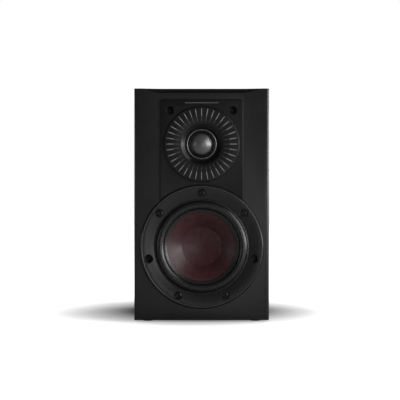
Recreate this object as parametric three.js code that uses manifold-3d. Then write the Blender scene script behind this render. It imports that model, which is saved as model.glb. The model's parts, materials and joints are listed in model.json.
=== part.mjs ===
// Compact two-way bookshelf loudspeaker: a wrapped fibreboard cabinet, a dome tweeter behind a raised
// faceplate, a 130 mm class mid-woofer, a rear reflex port, and a recessed terminal cup with the crossover
// behind it.
// Millimetres, +Z up. The front faces -Y and +X is to the right as seen from the front.
// The origin is the centre of the footprint, at the level of the feet.

import * as THREE from "three";
import { mergeVertices } from "three/addons/utils/BufferGeometryUtils.js";
import { ConvexGeometry } from "three/addons/geometries/ConvexGeometry.js";
import Module from "manifold-3d";

const wasm = await Module();
wasm.setup();

// ---------------------------------------------------------------------------------------------
// Driving dimensions. Depths are measured from the front face of the baffle, positive to the rear.

const CABINET_WIDTH = 162;
const CABINET_HEIGHT = 278;
const CABINET_DEPTH = 226;
const PANEL = 12;
const BAFFLE = 16;
const EDGE_RADIUS = 3;
const FOOT_HEIGHT = 2;
const FRONT_TRIM = 3;
const REAR_TRIM = 2;

const WOOFER_HEIGHT = 90;
const TWEETER_HEIGHT = 213.2;
const PORT_HEIGHT = 208;
const CUP_HEIGHT = 80;

const FLANGE_RADIUS = 74.1;
const FIXING_RADIUS = 64.4;
const FIXING_COUNT = 7;
const SOCKET_POSITIONS = [2, 5];
const CONE_RADIUS = 45;
const NECK_RADIUS = 13;
const CAP_RADIUS = 23.5;

const PLATE_HALF_WIDTH = 49.8;
const PLATE_TOP = 267;
const PLATE_CORNER = 5;
const DISC_RADIUS = 45.8;
const PLATE_SOCKET_X = 37.7;
const PLATE_SOCKET_HEIGHT = 253.7;

const POST_SPACING = 38;

// Working clearance between pieces that are assembled into each other, and between faces that are seated.
const GAP = 0.3;
const SEATED = 0.1;
// Sides of the polygons that stand for circles, by size.
const WIDE = 36;
const MIDDLE = 24;
const SMALL = 12;
const TINY = 8;

const halfWidth = CABINET_WIDTH / 2;
const cabinetTop = FOOT_HEIGHT + CABINET_HEIGHT;
const rearInside = CABINET_DEPTH - PANEL;

// ---------------------------------------------------------------------------------------------
// Shared shapes

function spread(from, to, count) {
  return Array.from({ length: count }, (_, i) => from + ((to - from) * i) / (count - 1));
}

function sectionArea(points) {
  return points.reduce((sum, [x, y], i) => {
    const [nextX, nextY] = points[(i + 1) % points.length];
    return sum + (x * nextY - nextX * y) / 2;
  }, 0);
}

// A solid of revolution about the Y axis. The section is a list of [radius, depth] points.
function turned(section, sides) {
  const ordered = sectionArea(section) > 0 ? section : [...section].reverse();
  const onAxis = ordered.filter(([radius]) => radius === 0).length;
  let outline = [...ordered, ordered[0]];
  if (onAxis === 2) {
    const start = ordered.findIndex(
      ([radius], i) => radius === 0 && ordered.at(i - 1)[0] === 0,
    );
    outline = [...ordered.slice(start), ...ordered.slice(0, start)];
  }
  const points = outline.map(([radius, depth]) => new THREE.Vector2(radius, depth));
  return new THREE.LatheGeometry(points, sides);
}

function cylinder(radius, from, to, sides) {
  return turned([[0, from], [radius, from], [radius, to], [0, to]], sides);
}

function ring(inner, outer, from, to, sides) {
  return turned([[inner, from], [outer, from], [outer, to], [inner, to]], sides);
}

function box(x, y, z) {
  const made = new THREE.BoxGeometry(x[1] - x[0], y[1] - y[0], z[1] - z[0]);
  return made.translate((x[0] + x[1]) / 2, (y[0] + y[1]) / 2, (z[0] + z[1]) / 2);
}

// A shape drawn in X and Z, extruded along Y.
function slab(shape, from, to, curveSegments = 8) {
  const made = new THREE.ExtrudeGeometry(shape, {
    depth: to - from,
    bevelEnabled: false,
    curveSegments,
  });
  return made.rotateX(Math.PI / 2).translate(0, to, 0);
}

function polygon(points) {
  return new THREE.Shape(points.map(([x, y]) => new THREE.Vector2(x, y)));
}

function roundedRectangle(width, height, radius, centreZ) {
  const [x, z] = [width / 2, height / 2];
  const shape = new THREE.Shape();
  shape.moveTo(-x + radius, centreZ - z);
  shape.lineTo(x - radius, centreZ - z);
  shape.absarc(x - radius, centreZ - z + radius, radius, -Math.PI / 2, 0);
  shape.absarc(x - radius, centreZ + z - radius, radius, 0, Math.PI / 2);
  shape.absarc(-x + radius, centreZ + z - radius, radius, Math.PI / 2, Math.PI);
  shape.absarc(-x + radius, centreZ - z + radius, radius, Math.PI, 1.5 * Math.PI);
  return shape;
}

// A tube of round or flattened section along a smooth line through the points.
function flex(points, width, thickness, steps, sides) {
  const [long, radius] = [(width - thickness) / 2, thickness / 2];
  const section = new THREE.Shape();
  for (let i = 0; i < sides; i++) {
    const angle = (2 * Math.PI * (i + 0.5)) / sides;
    const x = radius * Math.cos(angle) + long * Math.sign(Math.cos(angle));
    const y = radius * Math.sin(angle);
    if (i === 0) section.moveTo(x, y);
    else section.lineTo(x, y);
  }
  const line = new THREE.CatmullRomCurve3(points.map((p) => new THREE.Vector3(...p)));
  return new THREE.ExtrudeGeometry(section, { steps, extrudePath: line, bevelEnabled: false });
}

function solidOf(geometry) {
  const bare = geometry.clone();
  bare.deleteAttribute("normal");
  bare.deleteAttribute("uv");
  const merged = mergeVertices(bare, 1e-4);
  return new wasm.Manifold(
    new wasm.Mesh({
      numProp: 3,
      vertProperties: merged.attributes.position.array,
      triVerts: new Uint32Array(merged.index.array),
    }),
  );
}

function geometryOf(solid) {
  const mesh = solid.getMesh();
  return new THREE.BufferGeometry()
    .setAttribute("position", new THREE.BufferAttribute(mesh.vertProperties, 3))
    .setIndex(new THREE.BufferAttribute(mesh.triVerts, 1));
}

function cut(geometry, tools) {
  return geometryOf(tools.reduce((body, tool) => body.subtract(solidOf(tool)), solidOf(geometry)));
}

function join(geometry, others) {
  return geometryOf(others.reduce((body, other) => body.add(solidOf(other)), solidOf(geometry)));
}

function at(geometry, x, z) {
  return geometry.translate(x, 0, z);
}

// ---------------------------------------------------------------------------------------------
// Materials

function material(color, roughness, metalness = 0) {
  return new THREE.MeshStandardMaterial({ color, roughness, metalness });
}

const blackWrap = material(0x1b1b1b, 0.55);
const blackPlastic = material(0x161616, 0.5);
const rubber = material(0x101010, 0.7);
const maroonPaper = material(0x3a1a1c, 0.6);
const domeFabric = material(0x2a2a2a, 0.35);
const trimMetal = material(0x6c6c6c, 0.35, 0.9);
const zincSteel = material(0x8f9194, 0.35, 1);
const blackSteel = material(0x141414, 0.4, 0.8);
const ferrite = material(0x2c2c2e, 0.8);
const goldPlate = material(0xb58b3a, 0.3, 1);
const copper = material(0x9c4f24, 0.35, 1);
const spiderCloth = material(0x8a6a3c, 0.9);
const foam = material(0x202020, 0.95);
const wadding = material(0xc9c6bd, 1);
const circuitBoard = material(0x1f3b26, 0.6);
const filmCapacitor = material(0x2c4a6b, 0.5);
const redPlastic = material(0x8c1512, 0.35);
const redInsulation = material(0x7a1512, 0.5);

// Everything is placed in the cabinet's own frame, whose depth starts at the baffle's front face.
const speaker = new THREE.Group();
const cabinetFrame = new THREE.Group();
cabinetFrame.position.y = (FRONT_TRIM - CABINET_DEPTH - REAR_TRIM) / 2;
speaker.add(cabinetFrame);

const wooferFrame = new THREE.Group();
wooferFrame.position.z = WOOFER_HEIGHT;
const tweeterFrame = new THREE.Group();
tweeterFrame.position.z = TWEETER_HEIGHT;
cabinetFrame.add(wooferFrame, tweeterFrame);

function place(name, geometry, surface, frame = cabinetFrame) {
  const mesh = new THREE.Mesh(geometry, surface);
  mesh.name = name;
  frame.add(mesh);
  return mesh;
}

// ---------------------------------------------------------------------------------------------
// Fixing positions round the woofer flange: seven equal steps from the top. Two of them hold grille
// sockets and five hold screws. Angles are measured from +X towards +Z.

const fixingAngles = Array.from(
  { length: FIXING_COUNT },
  (_, i) => Math.PI / 2 + (2 * Math.PI * i) / FIXING_COUNT,
);
const onFlange = (angle) => [FIXING_RADIUS * Math.cos(angle), FIXING_RADIUS * Math.sin(angle)];
const screwSpots = fixingAngles.filter((_, i) => !SOCKET_POSITIONS.includes(i)).map(onFlange);
const flangeSocketSpots = SOCKET_POSITIONS.map((i) => onFlange(fixingAngles[i]));
const plateSocketSpots = [-1, 1].map((side) => [
  side * PLATE_SOCKET_X,
  PLATE_SOCKET_HEIGHT - TWEETER_HEIGHT,
]);

// ---------------------------------------------------------------------------------------------
// Cabinet

const FLANGE_REBATE = 3;
const PLATE_REBATE = 2.5;
const SOCKET_HOLE = 4.6;
const SOCKET_HOLE_END = 11.5;
const PILOT_RADIUS = 2.3;
const WOOFER_CUTOUT = 58.8;
const TWEETER_CUTOUT = 36;

// The faceplate's outline, grown by some clearance: a rounded rectangle with its foot cut to an arc
// about the woofer's axis.
function plateOutline(grow, footRadius) {
  const x = PLATE_HALF_WIDTH + grow;
  const top = PLATE_TOP + grow;
  const arcStart = Math.acos(x / footRadius);
  const corner = PLATE_CORNER + grow;
  const shape = new THREE.Shape();
  shape.moveTo(x, WOOFER_HEIGHT + footRadius * Math.sin(arcStart));
  shape.lineTo(x, top - corner);
  shape.absarc(x - corner, top - corner, corner, 0, Math.PI / 2);
  shape.lineTo(-x + corner, top);
  shape.absarc(-x + corner, top - corner, corner, Math.PI / 2, Math.PI);
  shape.absarc(0, WOOFER_HEIGHT, footRadius, Math.PI - arcStart, arcStart, true);
  return shape;
}

// The finger scoop along the baffle's top edge: a chamfer that fades out towards both corners.
function scoop() {
  const HALF_LENGTH = 51.5;
  const FADE_END = 74;
  const DROP = 5.6;
  const SETBACK = 5;
  const OUTSIDE = 4;
  const points = [-1, 1].flatMap((side) => [
    [side * HALF_LENGTH, 0, cabinetTop - DROP],
    [side * HALF_LENGTH, -OUTSIDE, cabinetTop - DROP],
    [side * HALF_LENGTH, SETBACK, cabinetTop],
    [side * HALF_LENGTH, SETBACK, cabinetTop + OUTSIDE],
    [side * FADE_END, 0, cabinetTop],
    [side * FADE_END, -OUTSIDE, cabinetTop + OUTSIDE],
  ]);
  return new ConvexGeometry(points.map((p) => new THREE.Vector3(...p)));
}

function frontBaffle() {
  const SEAM = 0.6;
  const plan = new THREE.Shape();
  plan.moveTo(-halfWidth + SEAM, BAFFLE);
  plan.lineTo(-halfWidth, BAFFLE - SEAM);
  plan.absarc(-halfWidth + EDGE_RADIUS, EDGE_RADIUS, EDGE_RADIUS, Math.PI, 1.5 * Math.PI);
  plan.absarc(halfWidth - EDGE_RADIUS, EDGE_RADIUS, EDGE_RADIUS, -Math.PI / 2, 0);
  plan.lineTo(halfWidth, BAFFLE - SEAM);
  plan.lineTo(halfWidth - SEAM, BAFFLE);
  const blank = new THREE.ExtrudeGeometry(plan, {
    depth: CABINET_HEIGHT,
    bevelEnabled: false,
    curveSegments: 5,
  }).translate(0, 0, FOOT_HEIGHT);
  const rebate = cylinder(FLANGE_RADIUS + GAP, -1, FLANGE_REBATE, WIDE);
  const opening = cylinder(WOOFER_CUTOUT, -1, BAFFLE + 1, WIDE);
  const tweeterOpening = cylinder(TWEETER_CUTOUT, -1, BAFFLE + 1, MIDDLE);
  const socketHoles = [
    ...flangeSocketSpots.map(([x, z]) => [x, z + WOOFER_HEIGHT]),
    ...plateSocketSpots.map(([x, z]) => [x, z + TWEETER_HEIGHT]),
  ].map(([x, z]) => at(cylinder(SOCKET_HOLE, -1, SOCKET_HOLE_END, SMALL), x, z));
  const pilotHoles = screwSpots.map(([x, z]) =>
    at(cylinder(PILOT_RADIUS, -1, BAFFLE + 1, TINY), x, z + WOOFER_HEIGHT),
  );
  return cut(blank, [
    scoop(),
    at(rebate, 0, WOOFER_HEIGHT),
    at(opening, 0, WOOFER_HEIGHT),
    slab(plateOutline(GAP, FLANGE_RADIUS - 4), -1, PLATE_REBATE, 12),
    at(tweeterOpening, 0, TWEETER_HEIGHT),
    ...socketHoles,
    ...pilotHoles,
  ]);
}

function sidePanel(side) {
  const inner = side * (halfWidth - PANEL);
  const outer = side * halfWidth;
  const section = polygon([
    [outer, FOOT_HEIGHT],
    [outer, cabinetTop],
    [inner, cabinetTop - PANEL],
    [inner, FOOT_HEIGHT + PANEL],
  ]);
  return slab(section, BAFFLE, CABINET_DEPTH);
}

function levelPanel(outer, inner) {
  const section = polygon([
    [-halfWidth, outer],
    [halfWidth, outer],
    [halfWidth - PANEL, inner],
    [-halfWidth + PANEL, inner],
  ]);
  return slab(section, BAFFLE, CABINET_DEPTH);
}

const CUP_WIDTH = 96;
const CUP_TALL = 76;
const CUP_WELL_WIDTH = 78;
const CUP_WELL_TALL = 52;
const CUP_WALL = 2;
const CUP_FLOOR = 206;
const CUP_SCREW_X = 42.5;
const CUP_SCREW_Z = 32.5;
const SCREW_SHANK = 1.5;
const PORT_COLLAR = 29;
const cupScrewSpots = [
  [-CUP_SCREW_X, -CUP_SCREW_Z],
  [CUP_SCREW_X, -CUP_SCREW_Z],
  [-CUP_SCREW_X, CUP_SCREW_Z],
  [CUP_SCREW_X, CUP_SCREW_Z],
];

function rearPanel() {
  const SEAM_GAP = 0.2;
  const x = halfWidth - PANEL - SEAM_GAP;
  const low = FOOT_HEIGHT + PANEL + SEAM_GAP;
  const high = cabinetTop - PANEL - SEAM_GAP;
  const blank = box([-x, x], [rearInside, CABINET_DEPTH], [low, high]);
  const portHole = cylinder(PORT_COLLAR + GAP, rearInside - 1, CABINET_DEPTH + 1, MIDDLE);
  const well = roundedRectangle(
    CUP_WELL_WIDTH + 2 * (CUP_WALL + GAP),
    CUP_WELL_TALL + 2 * (CUP_WALL + GAP),
    5 + GAP,
    CUP_HEIGHT,
  );
  const pilots = cupScrewSpots.map(([px, pz]) =>
    at(cylinder(SCREW_SHANK + GAP, rearInside - 1, CABINET_DEPTH + 1, TINY), px, pz + CUP_HEIGHT),
  );
  return cut(blank, [
    at(portHole, 0, PORT_HEIGHT),
    slab(well, rearInside - 1, CABINET_DEPTH + 1, 4),
    ...pilots,
  ]);
}

place("front_baffle", frontBaffle(), blackWrap);
place("left_side_panel", sidePanel(-1), blackWrap);
place("right_side_panel", sidePanel(1), blackWrap);
place("top_panel", levelPanel(cabinetTop, cabinetTop - PANEL), blackWrap);
place("bottom_panel", levelPanel(FOOT_HEIGHT, FOOT_HEIGHT + PANEL), blackWrap);
place("rear_panel", rearPanel(), blackWrap);

// Four self-adhesive rubber feet.
const FOOT_RADIUS = 7;
const FOOT_INSET_X = 16;
const FOOT_INSET_Y = 20;
const footDepths = { front: FOOT_INSET_Y, rear: CABINET_DEPTH - FOOT_INSET_Y };
for (const [end, depth] of Object.entries(footDepths)) {
  for (const [side, sign] of [["left", -1], ["right", 1]]) {
    const foot = new THREE.CylinderGeometry(FOOT_RADIUS, FOOT_RADIUS - 0.8, FOOT_HEIGHT, SMALL);
    foot.rotateX(Math.PI / 2).translate(0, 0, FOOT_HEIGHT / 2);
    const mesh = place(`foot_${end}_${side}`, foot, rubber);
    mesh.position.set(sign * (halfWidth - FOOT_INSET_X), depth, 0);
  }
}

// A slab of polyester wadding on the cabinet floor, under the woofer's motor.
const padTop = FOOT_HEIGHT + PANEL + 22;
place(
  "damping_pad",
  box([-62, 62], [26, 172], [FOOT_HEIGHT + PANEL + GAP, padTop]),
  wadding,
);

// ---------------------------------------------------------------------------------------------
// Woofer. Depths run along its axis; the flange lip stands FRONT_TRIM proud of the baffle.

// The cone's front face: steep at the neck and shallow at the rim.
const CONE_RIM_DEPTH = 1.2;
const CONE_NECK_DEPTH = 22;
const CONE_FLARE = 0.7;
const CONE_THICKNESS = 0.8;
function coneDepth(radius) {
  const along = (radius - NECK_RADIUS) / (CONE_RADIUS - NECK_RADIUS);
  return CONE_NECK_DEPTH - (CONE_NECK_DEPTH - CONE_RIM_DEPTH) * along ** CONE_FLARE;
}

const SEAT_RADIUS = 57.4;
const SEAT_DEPTH = 2;
const FLANGE_BACK = 1.9;
const COUNTERBORE = 4.9;
const HEAD_SEAT = 0.3;
const TOP_PLATE_FRONT = 34.2;
const SPIDER_SEAT = 26;

function wooferBasket() {
  const WINDOWS = 6;
  const WINDOW_WIDTH = 30;
  const CHAMFER = 1.2;
  const SOCKET_RECESS = 5.2;
  // The flange's face dips towards the cone, more and more steeply, in a quarter-wave.
  const DISH_START = 71.2;
  const DISH_FRONT = -2.5;
  const DISH_DROP = 2.8;
  const dish = spread(DISH_START, SEAT_RADIUS, 5).map((radius) => {
    const along = (DISH_START - radius) / (DISH_START - SEAT_RADIUS);
    return [radius, DISH_FRONT + DISH_DROP * (1 - Math.cos((along * Math.PI) / 2))];
  });
  const flange = [
    [FLANGE_RADIUS, FLANGE_BACK],
    [FLANGE_RADIUS, CHAMFER - FRONT_TRIM],
    [FLANGE_RADIUS - CHAMFER, -FRONT_TRIM],
    [DISH_START + 0.4, -FRONT_TRIM],
    ...dish,
    [SEAT_RADIUS - 0.2, SEAT_DEPTH],
    [SEAT_RADIUS - 2.4, SEAT_DEPTH],
  ];
  const cageInside = [[54, 7], [40, 23], [38, SPIDER_SEAT]];
  const cageOutside = [[43.5, 25], [57.5, 9], [58, FLANGE_BACK]];
  const [shelf, throat] = [33.5, 18];
  const [floorFront, floorBack] = [TOP_PLATE_FRONT - 2.7, TOP_PLATE_FRONT - GAP];
  const floor = [
    [shelf, SPIDER_SEAT],
    [shelf, floorFront],
    [throat, floorFront],
    [throat, floorBack],
    [shelf + 5, floorBack],
  ];
  const section = [...flange, ...cageInside, ...floor, ...cageOutside];
  const windows = Array.from({ length: WINDOWS }, (_, i) => {
    const window = box([30, 66], [9.5, 22.5], [-WINDOW_WIDTH / 2, WINDOW_WIDTH / 2]);
    return window.rotateY((2 * Math.PI * i) / WINDOWS);
  });
  const counterbores = screwSpots.flatMap(([x, z]) => [
    at(cylinder(COUNTERBORE, -FRONT_TRIM - 1, HEAD_SEAT, SMALL), x, z),
    at(cylinder(PILOT_RADIUS, -FRONT_TRIM - 1, BAFFLE, TINY), x, z),
  ]);
  const sockets = flangeSocketSpots.flatMap(([x, z]) => [
    at(cylinder(SOCKET_HOLE, -FRONT_TRIM - 1, BAFFLE, SMALL), x, z),
    at(cylinder(SOCKET_RECESS, -FRONT_TRIM - 1, -0.6, SMALL), x, z),
  ]);
  return cut(turned(section, WIDE), [...windows, ...counterbores, ...sockets]);
}

function wooferSurround() {
  const OUTER = 57;
  const ROLL_OUTER = 55.2;
  const THICKNESS = 0.8;
  const LANDING = SEAT_DEPTH - SEATED;
  const GLUE = 0.15;
  const INNER = 41.5;
  const rollCentre = (ROLL_OUTER + CONE_RADIUS) / 2;
  const rollRadius = (ROLL_OUTER - CONE_RADIUS) / 2;
  const ROLL_HEIGHT = 4.1;
  const arch = (radius, height) =>
    spread(0, Math.PI, 7).map((angle) => [
      rollCentre + radius * Math.cos(angle),
      LANDING - THICKNESS - height * Math.sin(angle),
    ]);
  const innerFoot = (radius, lift) => [radius, coneDepth(radius) - lift];
  const front = [
    [OUTER, LANDING],
    [OUTER, LANDING - THICKNESS],
    ...arch(rollRadius, ROLL_HEIGHT).slice(0, -1),
    innerFoot(CONE_RADIUS - 0.4, THICKNESS + GLUE),
    innerFoot(INNER, THICKNESS + GLUE),
    innerFoot(INNER, GLUE),
    innerFoot(CONE_RADIUS, GLUE),
  ];
  const back = arch(rollRadius - THICKNESS, ROLL_HEIGHT - THICKNESS).reverse().slice(1, -1);
  return turned([...front, ...back, [ROLL_OUTER - 0.6, LANDING]], WIDE);
}

function wooferCone() {
  const radii = spread(CONE_RADIUS, NECK_RADIUS + 0.1, 6);
  const front = radii.map((radius) => [radius, coneDepth(radius)]);
  const back = [...radii].reverse().map((radius) => [radius, coneDepth(radius) + CONE_THICKNESS]);
  return turned([...front, ...back], WIDE);
}

function dustCap() {
  const DISH = 3.6;
  const THICKNESS = 0.5;
  const GLUE = 0.15;
  const rim = coneDepth(CAP_RADIUS) - GLUE - THICKNESS;
  const dish = (lift) =>
    spread(CAP_RADIUS, 0, 4).map((radius) => [
      radius,
      rim + DISH * (1 - (radius / CAP_RADIUS) ** 2) + lift,
    ]);
  return turned([...dish(0), ...dish(THICKNESS).reverse()], MIDDLE);
}

function wooferVoiceCoil() {
  const FORMER_INNER = 12.4;
  const FORMER_OUTER = 12.75;
  const WINDING_OUTER = 13.3;
  const [start, windingStart, windingEnd, end] = [20, 31.7, 41.7, 43];
  return turned(
    [
      [FORMER_INNER, start],
      [FORMER_OUTER, start],
      [FORMER_OUTER, windingStart],
      [WINDING_OUTER, windingStart],
      [WINDING_OUTER, windingEnd],
      [FORMER_OUTER, windingEnd],
      [FORMER_OUTER, end],
      [FORMER_INNER, end],
    ],
    MIDDLE,
  );
}

// The centring spider: concentric corrugations between a collar on the coil former and the basket's shelf.
function wooferSpider() {
  const THICKNESS = 0.6;
  const WAVES = 3;
  const COLLAR = 13.1;
  const RIM = 37.6;
  const [crest, trough] = [SPIDER_SEAT - 0.7, SPIDER_SEAT - 2.5];
  const radii = spread(16, 33, 2 * WAVES + 1);
  const wave = (lift) => radii.map((radius, i) => [radius, (i % 2 ? trough : crest) + lift]);
  const front = [[RIM, crest], ...wave(0).reverse(), [COLLAR, SPIDER_SEAT - 2.4]];
  const back = [[COLLAR, SPIDER_SEAT - 1.2], ...wave(THICKNESS), [RIM, crest + THICKNESS]];
  return turned([...front, ...back], MIDDLE);
}

function wooferGasket() {
  const holes = [
    ...screwSpots.map(([x, z]) => at(cylinder(PILOT_RADIUS + GAP, 0, BAFFLE, TINY), x, z)),
    ...flangeSocketSpots.map(([x, z]) => at(cylinder(SOCKET_HOLE + GAP, 0, BAFFLE, SMALL), x, z)),
  ];
  return cut(ring(59, 72.5, SEAT_DEPTH, FLANGE_REBATE - SEATED, WIDE), holes);
}

function wooferScrew() {
  const HEAD = 4.1;
  const SHANK = 1.9;
  const HEAD_TOP = -1.5;
  const SOCKET = 1.6;
  return turned(
    [
      [0, HEAD_TOP + 1],
      [SOCKET, HEAD_TOP + 1],
      [SOCKET, HEAD_TOP],
      [HEAD - 0.9, HEAD_TOP],
      [HEAD, HEAD_TOP + 0.8],
      [HEAD, HEAD_SEAT - SEATED],
      [SHANK, HEAD_SEAT - SEATED],
      [SHANK, BAFFLE - 2],
      [0, BAFFLE + 0.4],
    ],
    TINY,
  );
}

// A push-fit cup that a grille pin snaps into.
function grilleSocket(front) {
  const SOCKET_BORE = 3.4;
  const BODY = 4.2;
  const RIM = 4.9;
  const END = 11.2;
  return turned(
    [
      [0, END],
      [BODY, END],
      [BODY, front + 1.2],
      [RIM, front + 1.2],
      [RIM, front],
      [SOCKET_BORE + 0.8, front],
      [SOCKET_BORE, front + 1],
      [SOCKET_BORE, END - 1.4],
      [0, END - 1.4],
    ],
    SMALL,
  );
}

place("woofer_basket", wooferBasket(), blackPlastic, wooferFrame);
place("woofer_gasket", wooferGasket(), foam, wooferFrame);
place("woofer_surround", wooferSurround(), rubber, wooferFrame);
place("woofer_cone", wooferCone(), maroonPaper, wooferFrame);
place("woofer_dust_cap", dustCap(), maroonPaper, wooferFrame);
place("woofer_voice_coil", wooferVoiceCoil(), copper, wooferFrame);
place("woofer_spider", wooferSpider(), spiderCloth, wooferFrame);

// A pole piece standing on a round plate.
function yoke(pole, plate, tip, plateFront, thickness) {
  return [
    [0, tip],
    [pole, tip],
    [pole, plateFront],
    [plate, plateFront],
    [plate, plateFront + thickness],
    [0, plateFront + thickness],
  ];
}

const WOOFER_MAGNET = 39.4;
const WOOFER_MAGNET_BACK = 54.4;
const wooferMotor = {
  plate: ring(13.9, 36, TOP_PLATE_FRONT, WOOFER_MAGNET - SEATED, MIDDLE),
  magnet: ring(18, 40, WOOFER_MAGNET, WOOFER_MAGNET_BACK, MIDDLE),
  yoke: turned(yoke(12, 36, TOP_PLATE_FRONT, WOOFER_MAGNET_BACK + SEATED, 4.9), MIDDLE),
};
place("woofer_top_plate", wooferMotor.plate, zincSteel, wooferFrame);
place("woofer_magnet", wooferMotor.magnet, ferrite, wooferFrame);
place("woofer_yoke", wooferMotor.yoke, zincSteel, wooferFrame);

screwSpots.forEach(([x, z], i) => {
  place(`woofer_screw_${i + 1}`, at(wooferScrew(), x, z), blackSteel, wooferFrame);
});
flangeSocketSpots.forEach(([x, z], i) => {
  const side = i === 0 ? "left" : "right";
  const socket = grilleSocket(-1.9);
  place(`grille_socket_lower_${side}`, at(socket, x, z), rubber, wooferFrame);
});

// The terminal strip stands on the basket's top leg, and two tinsel leads run from it to the cone's neck.
const terminalStrip = box([-9, 9], [17.6, 19.2], [50.6, 58]);
place("woofer_terminal_strip", terminalStrip, goldPlate, wooferFrame);
const TINSEL = 1.2;
for (const [side, sign] of [["left", -1], ["right", 1]]) {
  const route = [
    [sign * 10, 18.4, 52.5],
    [sign * 12, 17.2, 46.5],
    [sign * 10.6, 14.2, 37],
    [sign * 7.2, 15.6, 27],
    [sign * 4.6, 19.8, 18.4],
    [sign * 3.9, 20.9, 16.2],
  ];
  place(`tinsel_lead_${side}`, flex(route, TINSEL, TINSEL, 10, 6), copper, wooferFrame);
}

// ---------------------------------------------------------------------------------------------
// Tweeter

const PLATE_FRONT = -1.5;
const PLATE_BACK = PLATE_REBATE - SEATED;
const DISC_SEAT = 0;
const TWEETER_MOTOR = 5.3;

function tweeterFaceplate() {
  const outline = plateOutline(0, FLANGE_RADIUS + 2 * GAP);
  const blank = slab(outline, PLATE_FRONT, PLATE_BACK, 12).translate(0, 0, -TWEETER_HEIGHT);
  const THROAT = 26.5;
  const COLLAR = 33.5;
  const SOCKET_RECESS = 5.2;
  const collar = ring(THROAT, COLLAR, PLATE_BACK - 0.5, TWEETER_MOTOR - 2 * SEATED, MIDDLE);
  const discSeat = cylinder(DISC_RADIUS + GAP, PLATE_FRONT - 1, DISC_SEAT, WIDE);
  const sockets = plateSocketSpots.flatMap(([x, z]) => [
    at(cylinder(SOCKET_HOLE, PLATE_FRONT - 1, BAFFLE, SMALL), x, z),
    at(cylinder(SOCKET_RECESS, PLATE_FRONT - 1, -SEATED, SMALL), x, z),
  ]);
  const throat = cylinder(THROAT, PLATE_FRONT - 1, BAFFLE, MIDDLE);
  return cut(join(blank, [collar]), [discSeat, throat, ...sockets]);
}

// The raised disc with a short horn down to the dome.
function tweeterWaveguide() {
  const FRONT = -2.7;
  return turned(
    [
      [DISC_RADIUS, DISC_SEAT - SEATED],
      [DISC_RADIUS, FRONT + 1],
      [DISC_RADIUS - 1, FRONT],
      [33.2, FRONT],
      [25.4, FRONT + 0.6],
      [23.6, FRONT + 1.5],
      [21.6, FRONT + 3.4],
      [20.3, FRONT + 5.2],
      [19.7, FRONT + 6.6],
      [19.7, FRONT + 7.4],
      [21.3, FRONT + 7.4],
      [25.6, DISC_SEAT - SEATED],
    ],
    WIDE,
  );
}

const DOME_RADIUS = 12.9;
const DOME_RISE = 4.6;
const DOME_SEAT = 3.4;
function tweeterDome() {
  const THICKNESS = 0.4;
  const sphere = (DOME_RADIUS ** 2 + DOME_RISE ** 2) / (2 * DOME_RISE);
  const shell = (radius) =>
    spread(DOME_RADIUS, 0, 5).map((r) => [
      r,
      DOME_SEAT - DOME_RISE + radius - Math.sqrt(radius ** 2 - r ** 2),
    ]);
  const inner = shell(sphere).map(([r, depth]) => [r, depth + THICKNESS]);
  return turned([...shell(sphere), ...inner.reverse()], MIDDLE);
}

function tweeterSurround() {
  const INNER = DOME_RADIUS + 0.15;
  const OUTER = 16.1;
  const THICKNESS = 0.35;
  const ROLL = 1.2;
  const front = spread(0, Math.PI, 5).map((angle) => [
    (INNER + OUTER) / 2 + ((OUTER - INNER) / 2) * Math.cos(angle),
    DOME_SEAT + 0.6 - ROLL * Math.sin(angle),
  ]);
  const back = [...front].reverse().map(([radius, depth]) => [radius, depth + THICKNESS]);
  return turned([...front, ...back], MIDDLE);
}

function tweeterTrimRing() {
  const [INNER, OUTER] = [16.3, 18.2];
  const [FRONT, BACK] = [1.7, 5];
  return turned(
    [
      [INNER, BACK],
      [INNER, FRONT + 0.6],
      [INNER + 0.5, FRONT],
      [OUTER - 0.5, FRONT],
      [OUTER, FRONT + 0.6],
      [OUTER, BACK],
    ],
    MIDDLE,
  );
}

place("tweeter_faceplate", tweeterFaceplate(), blackPlastic, tweeterFrame);
place("tweeter_waveguide", tweeterWaveguide(), blackPlastic, tweeterFrame);
place("tweeter_trim_ring", tweeterTrimRing(), trimMetal, tweeterFrame);
place("tweeter_dome", tweeterDome(), domeFabric, tweeterFrame);
place("tweeter_surround", tweeterSurround(), rubber, tweeterFrame);

const TWEETER_PLATE_BACK = TWEETER_MOTOR + 4;
const TWEETER_MAGNET_BACK = TWEETER_PLATE_BACK + 12.1;
const tweeterMotor = {
  coil: ring(12.5, 12.85, DOME_SEAT + 0.7, TWEETER_PLATE_BACK, MIDDLE),
  plate: ring(13.6, 33, TWEETER_MOTOR, TWEETER_PLATE_BACK, MIDDLE),
  magnet: ring(17, 34, TWEETER_PLATE_BACK + SEATED, TWEETER_MAGNET_BACK, MIDDLE),
  yoke: turned(yoke(12, 31, TWEETER_MOTOR + 1.3, TWEETER_MAGNET_BACK + SEATED, 4), MIDDLE),
};
place("tweeter_voice_coil", tweeterMotor.coil, copper, tweeterFrame);
place("tweeter_top_plate", tweeterMotor.plate, blackSteel, tweeterFrame);
place("tweeter_magnet", tweeterMotor.magnet, ferrite, tweeterFrame);
place("tweeter_yoke", tweeterMotor.yoke, zincSteel, tweeterFrame);
plateSocketSpots.forEach(([x, z], i) => {
  const side = i === 0 ? "left" : "right";
  const socket = grilleSocket(PLATE_FRONT);
  place(`grille_socket_upper_${side}`, at(socket, x, z), rubber, tweeterFrame);
});

// ---------------------------------------------------------------------------------------------
// Rear: reflex port, terminal cup, binding posts and crossover

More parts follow.
